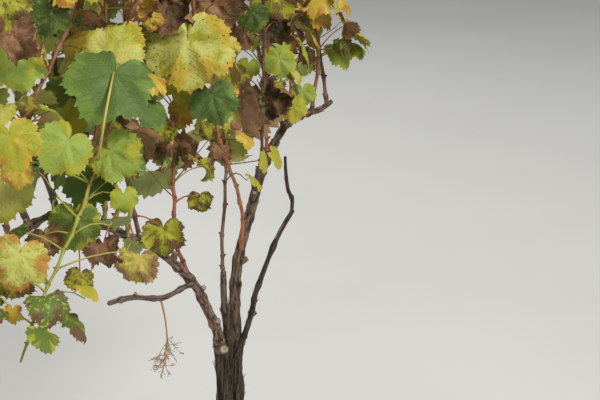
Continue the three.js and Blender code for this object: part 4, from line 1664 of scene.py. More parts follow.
@dataclass
class Leaf:
    """A leaf's place on the vine."""

    cane: Cane
    share: float
    junction: Array
    tip: Array
    upper: Array
    width: float
    cup: float
    look: Optional[Look] = None
    front: bool = False
    fold: float = 0.0
    root: Optional[Array] = None
    seed: int = 0
    plan: Optional[LeafPlan] = None

    def __post_init__(self) -> None:
        """Squares the leaf's directions and finds its middle and its foot on the faceted axis."""
        self.tip = unit(self.tip)
        self.upper = unit(self.upper - self.tip * float(np.dot(self.upper, self.tip)))
        self.ways = np.stack([self.tip, self.upper, np.cross(self.tip, self.upper)])
        self.centre = self.junction + self.tip * (BLADE_CENTRE * self.width)
        self.frame_root = self.cane.axis_point(self.share) if self.root is None else self.root

    def drawn(self) -> "Leaf":
        """The leaf as the scene draws it.

        Returns:
            The leaf, turned or moved where its plan says so, or else a little smaller.
        """
        if self.seed in DRIED_LEAVES:
            size, look = DRIED_LEAVES[self.seed]
            return replace(self, width=self.width * size, look=look, fold=0.7)
        if self.plan is None:
            return replace(self, width=self.width * SeededRun(SIZE_SEEDS + self.seed).between(*DRAWN_SIZE))
        plan, lean = self.plan, math.radians(self.plan.tilt)
        tip = turned(self.tip, self.upper, math.radians(plan.spin))
        junction = np.array(plan.drawn_at) * MM if plan.drawn_at else self.junction
        forward = tip * math.cos(lean) + self.upper * math.sin(lean)
        upper = self.upper * math.cos(lean) - tip * math.sin(lean)
        return replace(self, junction=junction, tip=forward, upper=upper, width=self.width * plan.size)

    def world(self, local: Array) -> Array:
        """Places given along the tip, the upper face and sideways, in leaf widths, on the vine."""
        return self.junction + (local * self.width) @ self.ways

    def margin(self) -> Array:
        """The corners of the frame's own outline of the leaf."""
        return self.world(np.stack([OUTLINE[:, 0], np.zeros(len(OUTLINE)), OUTLINE[:, 1]], axis=1))

    def skin(self) -> tuple[Array, list[tuple[int, ...]]]:
        """The frame's own leaf: a cupped blade on its three-sided petiole.

        Returns:
            Its vertices and its faces.
        """
        foot = (self.frame_root - self.junction) @ self.ways.T / self.width
        lower = -1.0 if foot[1] < 0 else 1.0
        reach = (OUTLINE[:, 0] - BLADE_CENTRE) ** 2 + OUTLINE[:, 1] ** 2
        margin = np.stack([OUTLINE[:, 0], -self.cup * reach, -lower * OUTLINE[:, 1]], axis=1)
        thick = LEAF_THICKNESS / self.width
        joint = np.array([JOINT_ALONG, lower * thick * 0.75, 0.0])
        turns = (np.arange(3) + 0.25) / 3 * FULL_TURN
        corners = np.stack([-np.cos(turns), np.zeros(3), -lower * np.sin(turns)], axis=1)
        collar = corners * PETIOLE_TIP_RADIUS / self.width + joint
        base = corners * self.cane.radius(self.share) * PETIOLE_SHARE / self.width + foot
        local = np.vstack([[BLADE_CENTRE, -lower * thick * 0.25, 0.0], margin, collar, base])
        faces: list[tuple[int, ...]] = [(0, 1 + k, 1 + (k + 1) % 6) for k in range(6)]
        for k in range(6):
            a, b = 7 + k // 2, 7 + ((k + 1) // 2) % 3
            faces.append((1 + k, 1 + (k + 1) % 6, b) if a == b else (1 + k, 1 + (k + 1) % 6, b, a))
        faces += [(7 + k, 7 + (k + 1) % 3, 10 + (k + 1) % 3, 10 + k) for k in range(3)]
        return self.world(local), faces


@dataclass
class Occupied:
    """A place already taken: its faces as a tree, and its box."""

    tree: BVHTree
    low: Array
    high: Array
    owner: Optional[Cane] = None
    leaf: Optional[Leaf] = None

    @classmethod
    def by(cls, verts: Array, faces: Sequence[Sequence[int]], owner: Optional[Cane] = None,
           leaf: Optional[Leaf] = None) -> "Occupied":
        """The place that a mesh takes up, and the cane or leaf that the mesh is."""
        tree = BVHTree.FromPolygons([tuple(v) for v in verts], [tuple(int(i) for i in f) for f in faces])
        return cls(tree, verts.min(axis=0), verts.max(axis=0), owner, leaf)

    def hit_by(self, other: "Occupied", cane: Cane) -> bool:
        """Whether another place crosses this one, told from their boxes first.

        Args:
            other: The other place.
            cane: The other's own cane, which it may touch.

        Returns:
            True where they cross.
        """
        if self.owner is cane:
            return False
        room = LEAF_CLEARANCE
        if (self.low - room > other.high).any() or (other.low - room > self.high).any():
            return False
        return bool(self.tree.overlap(other.tree))


def level(heading: float, rise: float = 0.0) -> Array:
    """A way out from a stem at a heading, level or with a rise."""
    return np.array([math.cos(heading), math.sin(heading), rise])


def hung(side: Array, droop: float, roll: float) -> tuple[Array, Array]:
    """The ways of a blade's tip and upper face, where it points to a side, droops and rolls."""
    tip = side * math.cos(droop) - UP * math.sin(droop)
    return tip, turned(side * math.sin(droop) + UP * math.cos(droop), tip, roll)


def bowed(root: Array, span: Array, bow: Array, share: float) -> Array:
    """A point of a stem that spans a way from its root, with its middle bowed aside."""
    return root + span * share + bow * math.sin(share * math.pi)


@dataclass
class SideTwig:
    """A short twig from a cane's joint, with its small leaves."""

    cane: Cane
    points: Array
    leaves: list[Leaf]


@dataclass
class Crown:
    """Where every leaf grows: the source's rule, and the side twigs that the scene adds."""

    canes: list[Cane]
    limbs: list[Line]
    taken: list[Occupied] = field(default_factory=list)
    leaves: list[Leaf] = field(default_factory=list)
    side_twigs: list[SideTwig] = field(default_factory=list)

    def __post_init__(self) -> None:
        """Marks the wood as taken, then grows the leaves in the source's order."""
        self.taken = [Occupied.by(*tube(points, radii, 8)) for points, radii in self.limbs]
        for cane in self.canes:
            radii = [cane.radius(i / cane.rings) for i in range(cane.rings + 1)]
            self.taken.append(Occupied.by(*tube(cane.ring_points, radii, 5), owner=cane))
        self.grow_front()
        self.grow_rule()
        self.grow_between()
        self.leaves = [leaf.drawn() for leaf in self.leaves]
        self.grow_side_twigs()

    def grow_front(self) -> None:
        """Places the large leaves that face the alley."""
        for number, plan in enumerate(FRONT_LEAVES):
            leaf = self.facing(plan, FRONT_SEEDS + number)
            if self.room_for(leaf):
                self.leaves.append(leaf)
            else:
                log.warning("no room for the large leaf at %s", plan.at)

    def facing(self, plan: LeafPlan, seed: int) -> Leaf:
        """The leaf of a plan, on the cane that is nearest, with its face to the alley.

        Args:
            plan: The plan.
            seed: The leaf's seed.

        Returns:
            The leaf.
        """
        at = np.array(plan.at) * MM
        cane = min(self.canes, key=lambda cane: cane.nearest(at)[1])
        down = unit(-UP + ALLEY * float(np.dot(UP, ALLEY)))
        return Leaf(cane, cane.nearest(at)[0], at, turned(down, ALLEY, math.radians(plan.turn)), ALLEY,
                    plan.width * MM, FRONT_CUP, plan.look, front=True, fold=plan.fold, seed=seed, plan=plan)

    def grow_between(self) -> None:
        """Adds the leaves between; the rule's leaves that stand in their way give place."""
        for number, plan in enumerate(LEAVES_BETWEEN):
            leaf = self.facing(plan, BETWEEN_SEEDS + number)
            place = Occupied.by(*leaf.skin(), leaf=leaf)
            hit = [other for other in self.taken if other.hit_by(place, leaf.cane)]
            if any(other.leaf is None or other.leaf.front for other in hit):
                log.info("left out the leaf at %s", plan.at)
                continue
            gone = {id(other) for other in hit}
            lost = {id(other.leaf) for other in hit}
            self.taken = [other for other in self.taken if id(other) not in gone] + [place]
            self.leaves = [other for other in self.leaves if id(other) not in lost] + [leaf]

    def grow_rule(self) -> None:
        """Grows a leaf at each joint of each cane, where one of its tries fits."""
        for cane in self.canes:
            for node, share in enumerate(cane.leaf_shares):
                run = SeededRun(cane.number * SEEDS_APART + node)
                for _ in range(LEAF_TRIES):
                    leaf = self.grown(cane, share, node, run)
                    if self.fits(leaf) and self.room_for(leaf):
                        self.leaves.append(leaf)
                        break

    def grow_side_twigs(self) -> None:
        """Grows short twigs with small leaves from the joints of the canes."""
        for cane in self.canes:
            for node, share in enumerate(cane.joints):
                run = SeededRun(TWIG_SEEDS + cane.number * SEEDS_APART + node)
                if share < cane.plan.bare * 0.9 or run.next() > SIDE_TWIG_SHARE:
                    continue
                for _ in range(SIDE_TRIES):
                    twig = self.side_twig(cane, float(share), node, run)
                    if twig:
                        self.side_twigs.append(twig)
                        break

    def side_twig(self, cane: Cane, share: float, node: int, run: SeededRun) -> Optional[SideTwig]:
        """One try at a side twig.

        Args:
            cane: The cane that it grows from.
            share: Where on the cane.
            node: The joint's number, which sets its side.
            run: The joint's run of numbers.

        Returns:
            The twig with the leaves that fit, or None where none does.
        """
        out = level(((node + 1) % 2 + 0.5) * math.pi + (run.next() - 0.5) * 2.8)
        rise = run.between(0.1, 0.9)
        length = SIDE_TWIG_LENGTH * run.between(0.45, 1.25)
        span = (out * math.cos(rise) + UP * math.sin(rise)) * length
        root = cane.wood_point(share)
        bow = UP * length * run.between(-0.1, 0.25)
        leaves: list[Leaf] = []
        for k, (place, turn) in enumerate(SIDE_LEAVES):
            side = turned(out, UP, run.between(-1.3, 1.3) + turn)
            petiole = SIDE_LEAF_WIDTH * run.between(0.25, 0.55)
            base = bowed(root, span, bow, place)
            junction = base + (side * 0.85 + UP * 0.5) * petiole
            tip, upper = hung(side, run.between(0.3, 1.4), (run.next() - 0.5) * 1.2)
            width = SIDE_LEAF_WIDTH * run.between(0.65, 1.35)
            leaf = Leaf(cane, share, junction, tip, upper, width, run.between(0.1, 0.5), root=base,
                        seed=TWIG_SEEDS + cane.number * SEEDS_APART + node * 3 + k)
            if self.inside(leaf) and not self.crowded(leaf, 0.3) and self.room_for(leaf):
                leaves.append(leaf)
        points = np.array([bowed(root, span, bow, step) for step in np.linspace(0.0, 1.0, 5)])
        return SideTwig(cane, points, leaves) if leaves else None

    def grown(self, cane: Cane, share: float, node: int, run: SeededRun) -> Leaf:
        """One try at the leaf of a joint, drawn as the source draws it.

        Args:
            cane: The cane that it grows from.
            share: Where on the cane.
            node: The joint's number, which sets its side.
            run: The joint's run of numbers.

        Returns:
            The leaf.
        """
        stray = (share - 0.5) * LEAF_TWIST + (run.next() - 0.5) * HEADING_SPREAD
        out = level((node % 2 + 0.5) * math.pi + stray)
        rise = 0.35 + run.next() * 0.5
        droop = 0.55 + run.next() * 0.75
        length = PETIOLE_LENGTH * (0.65 + run.next() * 0.6)
        width = LEAF_WIDTH * (0.72 + run.next() * 0.42) * (1 - 0.35 * share * share)
        roll = (run.next() - 0.5) * 0.9
        cup = 0.1 + run.next() * 0.45
        junction = cane.axis_point(share) + (out * math.cos(rise) + UP * math.sin(rise)) * length
        return Leaf(cane, share, junction, *hung(out, droop, roll), width, cup,
                    seed=cane.number * SEEDS_APART + node)

    def inside(self, leaf: Leaf) -> bool:
        """Whether a leaf keeps inside the crown."""
        margin = leaf.margin()
        return bool((margin > CROWN_LOW).all() and (margin < CROWN_HIGH).all())

    def crowded(self, leaf: Leaf, closest: float) -> bool:
        """Whether a leaf would sit on another, or in the light of a large one.

        Args:
            leaf: The leaf.
            closest: How near its middle may come to another's, as a share of their widths.

        Returns:
            True where it would.
        """
        for other in self.leaves:
            apart = leaf.centre - other.centre
            reach = (leaf.width + other.width) / 2
            distance = float(np.linalg.norm(apart))
            if distance < reach * closest:
                return True
            if other.front and distance < LIGHT_REACH:
                ahead = float(np.dot(apart, ALLEY))
                if ahead > 0 and math.sqrt(max(0.0, distance ** 2 - ahead ** 2)) < reach * 0.75:
                    return True
        return False

    def fits(self, leaf: Leaf) -> bool:
        """Whether a leaf keeps inside the crown, in its own cane's space and clear of others.

        Args:
            leaf: The leaf.

        Returns:
            True where it does.
        """
        if not self.inside(leaf):
            return False
        own = leaf.cane.nearest(leaf.centre)[1]
        if any(other is not leaf.cane and other.nearest(leaf.centre)[1] <= own for other in self.canes):
            return False
        return not self.crowded(leaf, 0.42)

    def room_for(self, leaf: Leaf) -> bool:
        """Whether a leaf touches nothing but the cane it grows from; if so its place is taken.

        Args:
            leaf: The leaf.

        Returns:
            True where there was room.
        """
        near_own = min(leaf.cane.nearest(corner)[1] for corner in leaf.margin())
        if near_own < LEAF_CLEARANCE + CANE_RADIUS * 2:
            return False
        place = Occupied.by(*leaf.skin(), leaf=leaf)
        if any(other.hit_by(place, leaf.cane) for other in self.taken):
            return False
        self.taken.append(place)
        return True


@dataclass
class Blade:
    """One leaf's blade: its look and shape, and the veins and flecks that lie on it."""

    leaf: Leaf
    master: BladeMaster
    shell: float = 0.0009
    vein_radii: tuple[float, float] = (0.0065, 0.003)
    rib_radii: tuple[float, ...] = (0.0095, 0.0065, 0.002)
    ribs: tuple[tuple[float, float], ...] = ((0.0, 0.6), (-52.8, 0.5), (52.8, 0.5))
    side_veins: tuple[float, ...] = (0.16, 0.27, 0.38, 0.49, 0.6, 0.71, 0.82)
    ages: tuple[float, ...] = (0.0, 0.15, 0.3)
    freckle_sizes: tuple[float, float] = (0.008, 0.022)
    freckle_lift: tuple[float, float] = (-0.0002, 0.0008)

    def __post_init__(self) -> None:
        """Draws the blade's look and shape."""
        leaf = self.leaf
        self.run = SeededRun(BLADE_SEEDS + leaf.seed)
        self.look = (leaf.look or self.run.pick(LOOK_SHARES[leaf.cane.plan.hue])).value
        crumple = max(self.look.crumple * self.run.between(0.6, 1.0), leaf.fold)
        self.shape = BladeShape.drawn(self.run, leaf.cup, crumple)
        if leaf.front:
            self.shape = self.shape.facing(leaf.fold, self.run)
        self.vein_colour = mixed(self.look.blade.value, Tint.VEIN.value, 0.4)

    def at(self, along: Array, out: Array, lift: Array | float = 0.0) -> Array:
        """Places of the flat blade on the vine, lifted off its middle layer by so many metres."""
        return self.leaf.world(self.shape.surface(along, out, lift / self.leaf.width))

    def skin(self) -> Array:
        """The vertices of the bent blade."""
        return self.at(self.master.along, self.master.out, self.master.lift * self.shell)

    def tints(self) -> list[str]:
        """The blade's colours, in steps from its middle to its margin.

        Returns:
            A colour for each face.
        """
        look, seed = self.look, self.shape.seed
        age = self.ages[0 if self.leaf.front else int(self.run.next() * len(self.ages))]
        blade, rim, spot = look.blade.value, look.margin_tint.value, look.spot_tint.value
        fresh, half, late = (mixed(blade, rim, share) for share in (age, 0.42, 0.7))
        freckle = mixed(blade, spot, 0.5)
        turning, spotted = 1.22 - look.margin * 0.75, look.spots * 0.8
        colours = []
        for (along, out), edge, gap, upper in self.master.faces_told():
            if not upper:
                colours.append(look.under.value)
                continue
            patch = noise.noise(Vector((along * 4.0 + seed, out * 4.0, seed)))
            speck = noise.noise(Vector((along * 12.0, out * 12.0 + seed, -seed))) + 0.5
            old = edge + patch * 0.85 + (gap - 0.5) * 0.2 + (speck - 0.5) * 0.2 - turning
            if old > 0:
                colours.append(rim)
            elif speck < 0.06 + spotted:
                colours.append(spot)
            elif old > -0.1:
                colours.append(late)
            elif old > -0.22:
                colours.append(half)
            else:
                colours.append(freckle if speck < 0.12 + spotted else fresh)
        return colours

    def add_veins(self, bundle: Bundle) -> None:
        """Adds the five main veins of a large leaf and the side veins that curve away from them.

        Args:
            bundle: The veins gathered so far.
        """
        for turn in (0.0, *(s * math.radians(v) for v in VEIN_TURNS[1:] for s in (-1, 1))):
            reach = float(outline_reach(turn))
            way = np.array([math.cos(turn), math.sin(turn)])
            self.add_vein(bundle, way * np.linspace(0, reach * 0.97, 9)[:, None], self.vein_radii[0], 0.0)
            for k, start in enumerate(self.side_veins):
                side = 1 if k % 2 else -1
                for lean in (side, -side) if k < 4 else (side,):
                    begin = start + (0.05 if lean < 0 else 0.0)
                    length = reach * (1.0 - begin) * 0.68
                    steps = np.linspace(0, 1, 5)[:, None]
                    aside = np.array([-way[1], way[0]]) * lean
                    bow = way * steps * 0.62 + aside * np.sin(steps * 1.25) * 0.86
                    line = way * reach * begin + bow * length
                    self.add_vein(bundle, line, self.vein_radii[1], 0.0003)

    def add_vein(self, bundle: Bundle, line: Array, radius: float, lift: float) -> None:
        """Adds one vein of a large leaf.

        Args:
            bundle: The veins gathered so far.
            line: Its line on the flat blade.
            radius: Its radius at the foot, in leaf widths.
            lift: How far it stands off the blade's skin.
        """
        thick = self.leaf.width * radius
        points = self.at(line[:, 0], line[:, 1], self.shell * 0.5 + lift)
        bundle.add_tube(points, np.linspace(thick, thick * 0.3, len(points)), 3, self.vein_colour)

    def add_ribs(self, bundle: Bundle) -> None:
        """Adds the midrib and the two side ribs of a plain leaf.

        Args:
            bundle: The veins gathered so far.
        """
        for degrees, length in self.ribs:
            turn = math.radians(degrees)
            steps = np.array([0.02, 0.5, 1.0]) * length
            points = self.at(steps * math.cos(turn), steps * math.sin(turn))
            bundle.add_tube(points, np.array(self.rib_radii) * self.leaf.width, 3, self.vein_colour)

    def add_freckles(self, bundle: Bundle) -> None:
        """Strews small dark flecks over a large leaf, each a low pyramid on three corners.

        Args:
            bundle: The flecks gathered so far.
        """
        count = self.look.freckles
        turns = self.run.several(count, -2.5, 2.5)
        shares = self.run.several(count, 0.02, 1.0) ** 0.5 * 0.93
        sizes = self.run.several(count, *self.freckle_sizes)
        middle = np.stack([np.cos(turns), np.sin(turns)], axis=1) * (outline_reach(turns) * shares)[:, None]
        around = np.arange(3) / 3 * FULL_TURN + turns[:, None] * 7.0
        corners = np.stack([np.cos(around), np.sin(around)], axis=2) * sizes[:, None, None]
        places = np.concatenate([middle[:, None] + corners, middle[:, None]], axis=1).reshape(-1, 2)
        low, high = self.freckle_lift
        points = self.at(places[:, 0], places[:, 1], np.tile([low, low, low, high], count))
        pyramid = np.array([(1, 0, 3), (2, 1, 3), (0, 2, 3), (0, 1, 2)])
        faces = (pyramid[None] + np.arange(count)[:, None, None] * 4).reshape(-1, 3)
        bundle.add(points, faces, Tint.FRECKLE)


@dataclass
class Leaves:
    """The blades of the crown, joined by slot: the many plain ones and the large ones."""

    crown: Crown
    near_count: int = 44

    def build(self) -> list[Piece]:
        """Lays every blade and joins the blades of each slot.

        Returns:
            The pieces, in the order of their names.
        """
        margin = (1.0, turns_of(LOBES[:, 0]))
        plain = BladeMaster([(0.55, turns_of((*INNER_TURNS, 180))), margin])
        middle = BladeMaster([*even_rings(MIDDLE_RINGS), margin])
        large = BladeMaster(even_rings(LARGE_RINGS), teeth=0.024)
        rule_leaves = [leaf for leaf in self.crown.leaves if not leaf.front]
        near = sorted(rule_leaves, key=lambda leaf: float(np.linalg.norm(leaf.centre - Stage.place)))
        near_seeds = {leaf.seed for leaf in near[:self.near_count]}
        veins, freckles = Bundle("leaf_veins", "leaf_lime"), Bundle("leaf_freckles", "leaf_brown")
        bundles = {bundle.name: bundle for bundle in (veins, freckles)}
        side_leaves = [leaf for twig in self.crown.side_twigs for leaf in twig.leaves]
        for leaf in self.crown.leaves + side_leaves:
            close = leaf.front or leaf.seed in near_seeds
            blade = Blade(leaf, large if close else middle if leaf.root is None else plain)
            kind = ("large_" if close else "") + blade.look.slot.replace("leaf_", "leaves_")
            bundle = bundles.setdefault(kind, Bundle(kind, blade.look.slot))
            bundle.add(blade.skin(), blade.master.faces, blade.tints(), blade.master.rim)
            if not close:
                blade.add_ribs(veins)
                continue
            blade.add_veins(veins)
            if blade.look.freckles:
                blade.add_freckles(freckles)
        return [bundle.build() for _, bundle in sorted(bundles.items())]


@dataclass
class Stalks:
    """The petioles, side twigs, tendrils and buds, each kind joined."""

    crown: Crown
    petiole_radii: Place = (0.0017, 0.0014, 0.0008)
    petiole_swell: tuple[float, ...] = (1.5, 1.0, 0.95, 0.95, 1.0, 1.1)
    twig_radii: tuple[float, float] = (0.0016, 0.0008)
    bud_reach: tuple[float, ...] = (0.5, 1.1, 1.6, 2.1)
    bud_radii: tuple[float, ...] = (0.7, 0.8, 0.6, 0.15)
    tendril_share: float = 0.07
    tendril_radius: float = 0.0007
    coil_radius: float = 0.0055

    def petiole(self, root: Array, leaf: Leaf, thick: float, bundle: Bundle, tint: Tint) -> None:
        """Adds a leaf's stalk, which bows on its way from the wood into the blade.

        Args:
            root: Where it leaves the wood.
            leaf: The leaf.
            thick: Its radius at the foot.
            bundle: The stalks gathered so far.
            tint: Its colour.
        """
        span = leaf.junction - root
        sag = UP * float(np.linalg.norm(span)) * 0.12
        into = leaf.world(np.array([[0.06, -0.004, 0.0]]))[0]
        steps = np.linspace(0.0, 1.0, 6)
        points = [bowed(root, span, sag, step) for step in steps]
        if leaf.plan and leaf.plan.stalk:
            points = Curve([*leaf.plan.stalk, (leaf.junction + ALLEY * 0.004) / MM]).sampled(steps)
            thick *= 1.6
        radii = list(np.linspace(thick, thick * 0.62, 6) * np.array(self.petiole_swell))
        bundle.add_tube(np.array([*points, into]), [*radii, thick * 0.4], 5, tint)

    def tendril(self, root: Array, run: SeededRun, bundle: Bundle) -> None:
        """Adds a tendril that reaches out from a joint and coils at its end.

        Args:
            root: The joint.
            run: The joint's run of numbers.
            bundle: The tendrils gathered so far.
        """
        out = level(run.between(0, FULL_TURN), run.between(-0.2, 0.6))
        length, coils = run.between(0.03, 0.07), run.between(1.5, 3.5)
        straight = [root + out * length * s - UP * 0.01 * s * s for s in np.linspace(0, 1, 6)]
        end, side = straight[-1], unit(np.cross(out, UP))
        curl = []
        for step in np.linspace(0.08, 1.0, 22):
            turn = step * coils * FULL_TURN
            around = self.coil_radius * (1.15 - 0.6 * step)
            curl.append(end + side * around * math.sin(turn) + UP * around * (math.cos(turn) - 1)
                        + unit(out) * 0.018 * step)
        radii = np.linspace(self.tendril_radius, self.tendril_radius * 0.5, len(straight + curl))
        tint = Tint.STALK if run.next() < 0.6 else Tint.BROWN
        bundle.add_tube(np.array(straight + curl), radii, 4, tint)

    def build(self) -> list[Piece]:
        """Gathers every stalk and joins each kind.

        Returns:
            The pieces.
        """
        petioles = Bundle("petioles", "green_shoot")
        twigs = Bundle("side_twigs", "cane_bark")
        tendrils = Bundle("tendrils", "cane_bark")
        buds = Bundle("winter_buds", "cane_bark")
        thick, thin, finest = self.petiole_radii
        for leaf in self.crown.leaves:
            run = SeededRun(STALK_SEEDS + leaf.seed)
            reddish = run.next() < (0.35 if leaf.cane.plan.hue is Hue.GREEN else 0.6)
            tint = Tint.PETIOLE_RED if reddish else Tint.PETIOLE_LIME
            if leaf.plan and leaf.plan.stalk:
                tint = Tint.PALE_YELLOW
            foot = leaf.cane.wood_point(leaf.share)
            self.petiole(foot, leaf, thick if leaf.front else thin, petioles, tint)
        for twig in self.crown.side_twigs:
            tint = Tint.PETIOLE_LIME if twig.cane.plan.hue is Hue.GREEN else Tint.ROSE_BROWN
            twigs.add_tube(twig.points, np.linspace(*self.twig_radii, len(twig.points)), 5, tint)
            for leaf in twig.leaves:
                self.petiole(leaf.frame_root, leaf, finest, petioles, Tint.PETIOLE_LIME)
        for cane in self.crown.canes:
            for i, share in enumerate(cane.joints):
                run = SeededRun(BUD_SEEDS + cane.number * SEEDS_APART + i)
                point, around = cane.wood_point(float(share)), cane.radius(float(share))
                out = level((i % 2 + 0.5) * math.pi + run.between(-0.6, 0.6), 0.55)
                bud = np.array([point + out * around * reach for reach in self.bud_reach])
                buds.add_tube(bud, np.array(self.bud_radii) * around * 0.75, 6, Tint.BROWN)
                if run.next() < self.tendril_share and 0.15 < share < 0.9:
                    self.tendril(point, run, tendrils)
        return [bundle.build() for bundle in (petioles, twigs, tendrils, buds)]


@dataclass
class BunchStalk:
    """The dry stalk of a picked bunch, which still hangs from the low cane."""

    share: float = 0.52
    stalk: float = 0.078
    fan: float = 0.062
    radius: float = 0.0014
    branches: int = 26
    branch_radii: tuple[float, ...] = (0.0007, 0.0006, 0.0004)
    stems: int = 4
    stem_radii: tuple[float, ...] = (0.0004, 0.00035, 0.0008)
    lean: Place = (0.14, -0.05, -1.0)
    back: Place = (-0.75, -0.35, -0.75)

    def build(self, limb: Curve) -> Piece:
        """Hangs the stalk and spreads its fine branches.

        Args:
            limb: The low cane's route.

        Returns:
            The piece.
        """
        bundle = Bundle("bunch_stalk", "bunch_stalk")
        run = SeededRun(77)
        top, lean, sway = limb.at(self.share), np.array(self.lean), np.array([0.004, 0, 0])
        steps = np.linspace(0.0, 1.0, 7)
        main = np.array([top + lean * self.stalk * s + sway * math.sin(s * 3) for s in steps])
        bundle.add_tube(main, np.linspace(self.radius * 1.3, self.radius, 7), 6, Tint.STALK)
        end, back = main[-1], unit(np.array(self.back))
        rachis = np.array([end + back * self.fan * s for s in np.linspace(0.0, 1.0, 6)])
        bundle.add_tube(rachis, np.linspace(self.radius, self.radius * 0.45, 6), 5, Tint.STALK)
        for _ in range(self.branches):
            share = run.between(0.0, 0.95)
            root = end + back * self.fan * share
            way = unit(np.array([*run.several(2, -1, 1), run.between(-0.9, 0.35)]))
            length = (0.034 - 0.016 * share) * run.between(0.6, 1.1)
            branch = np.array([root + way * length * s - UP * 0.006 * s * s for s in (0.0, 0.5, 1.0)])
            tint = Tint.STALK if run.next() < 0.6 else Tint.OLIVE
            bundle.add_tube(branch, self.branch_radii, 4, tint)
            for _ in range(self.stems):
                foot = root + way * length * run.between(0.45, 1.0) - UP * 0.004
                bend = unit(way + np.array([*run.several(2, -1, 1), run.between(-1, 0.6)]))
                stem = np.array([foot, foot + bend * 0.005, foot + bend * 0.0085])
                bundle.add_tube(stem, self.stem_radii, 4, tint)
        return bundle.build()


@dataclass
class BarkShreds:
    """Strips of old bark that have come loose and lift at one end."""

    trunk_count: int = 64
    limb_size: float = 0.55
    thickness: float = 0.0006
    length: tuple[float, float] = (0.03, 0.085)
    lift: tuple[float, float] = (0.002, 0.008)
    width: tuple[float, float] = (0.0018, 0.0048)
    loose_from: float = 0.45
    widths: tuple[float, ...] = (0.5, 0.9, 1.0, 1.0, 0.85, 0.6, 0.2)

    def strip(self, line: Array, radii: Array, run: SeededRun, bundle: Bundle, size: float) -> None:
        """Adds one strip that lies along a limb.

        Args:
            line: The limb's points.
            radii: Its radius at each.
            run: Numbers to draw its place and size from.
            bundle: The strips gathered so far.
            size: The share of a full strip's length and width.
        """
        step = float(np.linalg.norm(np.diff(line, axis=0), axis=1).mean())
        rows = max(4, int(run.between(*self.length) * size / step))
        first = int(run.between(0.02, 0.95) * (len(line) - rows - 1))
        if first < 0:
            return
        _, sides, others = frames_along(line)
        turn, wind = run.between(0, FULL_TURN), run.between(-3, 3)
        lift, width = run.between(*self.lift) * size, run.between(*self.width) * size
        points, across = [], []
        for k in np.linspace(0, rows, len(self.widths)).astype(int):
            share, i = k / rows, first + k
            angle = turn + wind * share * 0.12
            out = sides[i] * math.cos(angle) + others[i] * math.sin(angle)
            rise = lift * max(0.0, share - self.loose_from) ** 2 * 3
            points.append(line[i] + out * (radii[i] + self.thickness + rise))
            across.append(np.cross(frames_along(line[max(0, i - 1):i + 2])[0][0], out))
        widths = width * np.array(self.widths)
        tint = run.pick([(Tint.STRIP_BROWN, 0.5), (Tint.DARK_BROWN, 0.5)])
        self.ribbon(np.array(points), np.array(across) * widths[:, None] / 2, bundle, tint)

    def ribbon(self, points: Array, half: Array, bundle: Bundle, tint: Tint) -> None:
        """Adds a thin closed ribbon.

        Args:
            points: Its middle line.
            half: The way from there to its edge, at each point.
            bundle: The strips gathered so far.
            tint: Its colour.
        """
        thick = units(np.cross(np.gradient(points, axis=0), half)) * self.thickness / 2
        rows = np.stack([points + half + thick, points - half + thick, points - half - thick,
                         points + half - thick], axis=1)
        faces = []
        for i in range(len(points) - 1):
            for k in range(4):
                a, b = i * 4 + k, i * 4 + (k + 1) % 4
                faces += [(a, b, b + 4), (a, b + 4, a + 4)]
        last = (len(points) - 1) * 4
        faces += [(0, 2, 1), (0, 3, 2), (last, last + 1, last + 2), (last, last + 2, last + 3)]
        bundle.add(rows.reshape(-1, 3), np.array(faces), tint)

    def build(self, trunk: Trunk, limbs: list[Limb]) -> Piece:
        """Lays the strips over the trunk's stems and the arms.

        Args:
            trunk: The trunk.
            limbs: The arms and old branches.

        Returns:
            The piece.
        """
        bundle = Bundle("bark_shreds", "trunk_bark")
        run = SeededRun(31)
        each = [(trunk.lines[stem], self.trunk_count // 2, 1.0) for stem in (1, 3)]
        each += [(limb.line, limb.plan.shreds, self.limb_size) for limb in limbs]
        for (line, radii), count, size in each:
            for _ in range(count):
                self.strip(line, radii, run, bundle, size)
        return bundle.build()


@dataclass(frozen=True)
class StubPlan:
    """Where a cane was once cut back: its limb, the share along it, its way, length and radius."""

    limb: str
    share: float
    way: Place
    length: float
    radius: float


STUBS = [
    StubPlan("left_arm", 0.03, (-0.62, -0.72, 0.3), 0.030, 0.0088),
    StubPlan("left_arm", 0.24, (-0.4, -0.6, 0.7), 0.022, 0.0056),
    StubPlan("left_arm", 0.52, (-0.2, -0.75, 0.65), 0.020, 0.0045),
    StubPlan("left_arm", 0.8, (0.15, -0.35, 0.92), 0.021, 0.0048),
    StubPlan("left_cordon", 0.1, (-0.1, -0.5, 0.85), 0.018, 0.0042),
    StubPlan("left_cordon", 0.38, (-0.3, -0.3, 0.9), 0.019, 0.0044),
    StubPlan("left_cordon", 0.64, (0.1, -0.5, 0.85), 0.017, 0.004),
    StubPlan("left_cordon", 0.88, (-0.2, -0.2, 0.95), 0.018, 0.004),
    StubPlan("right_arm", 0.3, (0.5, -0.7, 0.45), 0.022, 0.0052),
    StubPlan("right_arm", 0.58, (-0.7, -0.45, 0.5), 0.023, 0.005),
    StubPlan("right_arm", 0.86, (-0.35, -0.55, 0.75), 0.021, 0.0048),
    StubPlan("right_cordon", 0.25, (0.1, -0.45, 0.88), 0.019, 0.0044),
    StubPlan("right_cordon", 0.62, (0.0, -0.35, 0.93), 0.018, 0.0042),
    StubPlan("looped_branch", 0.36, (0.6, -0.55, 0.5), 0.014, 0.0034),
    StubPlan("low_cane", 0.72, (-0.2, -0.5, 0.8), 0.011, 0.003),
]


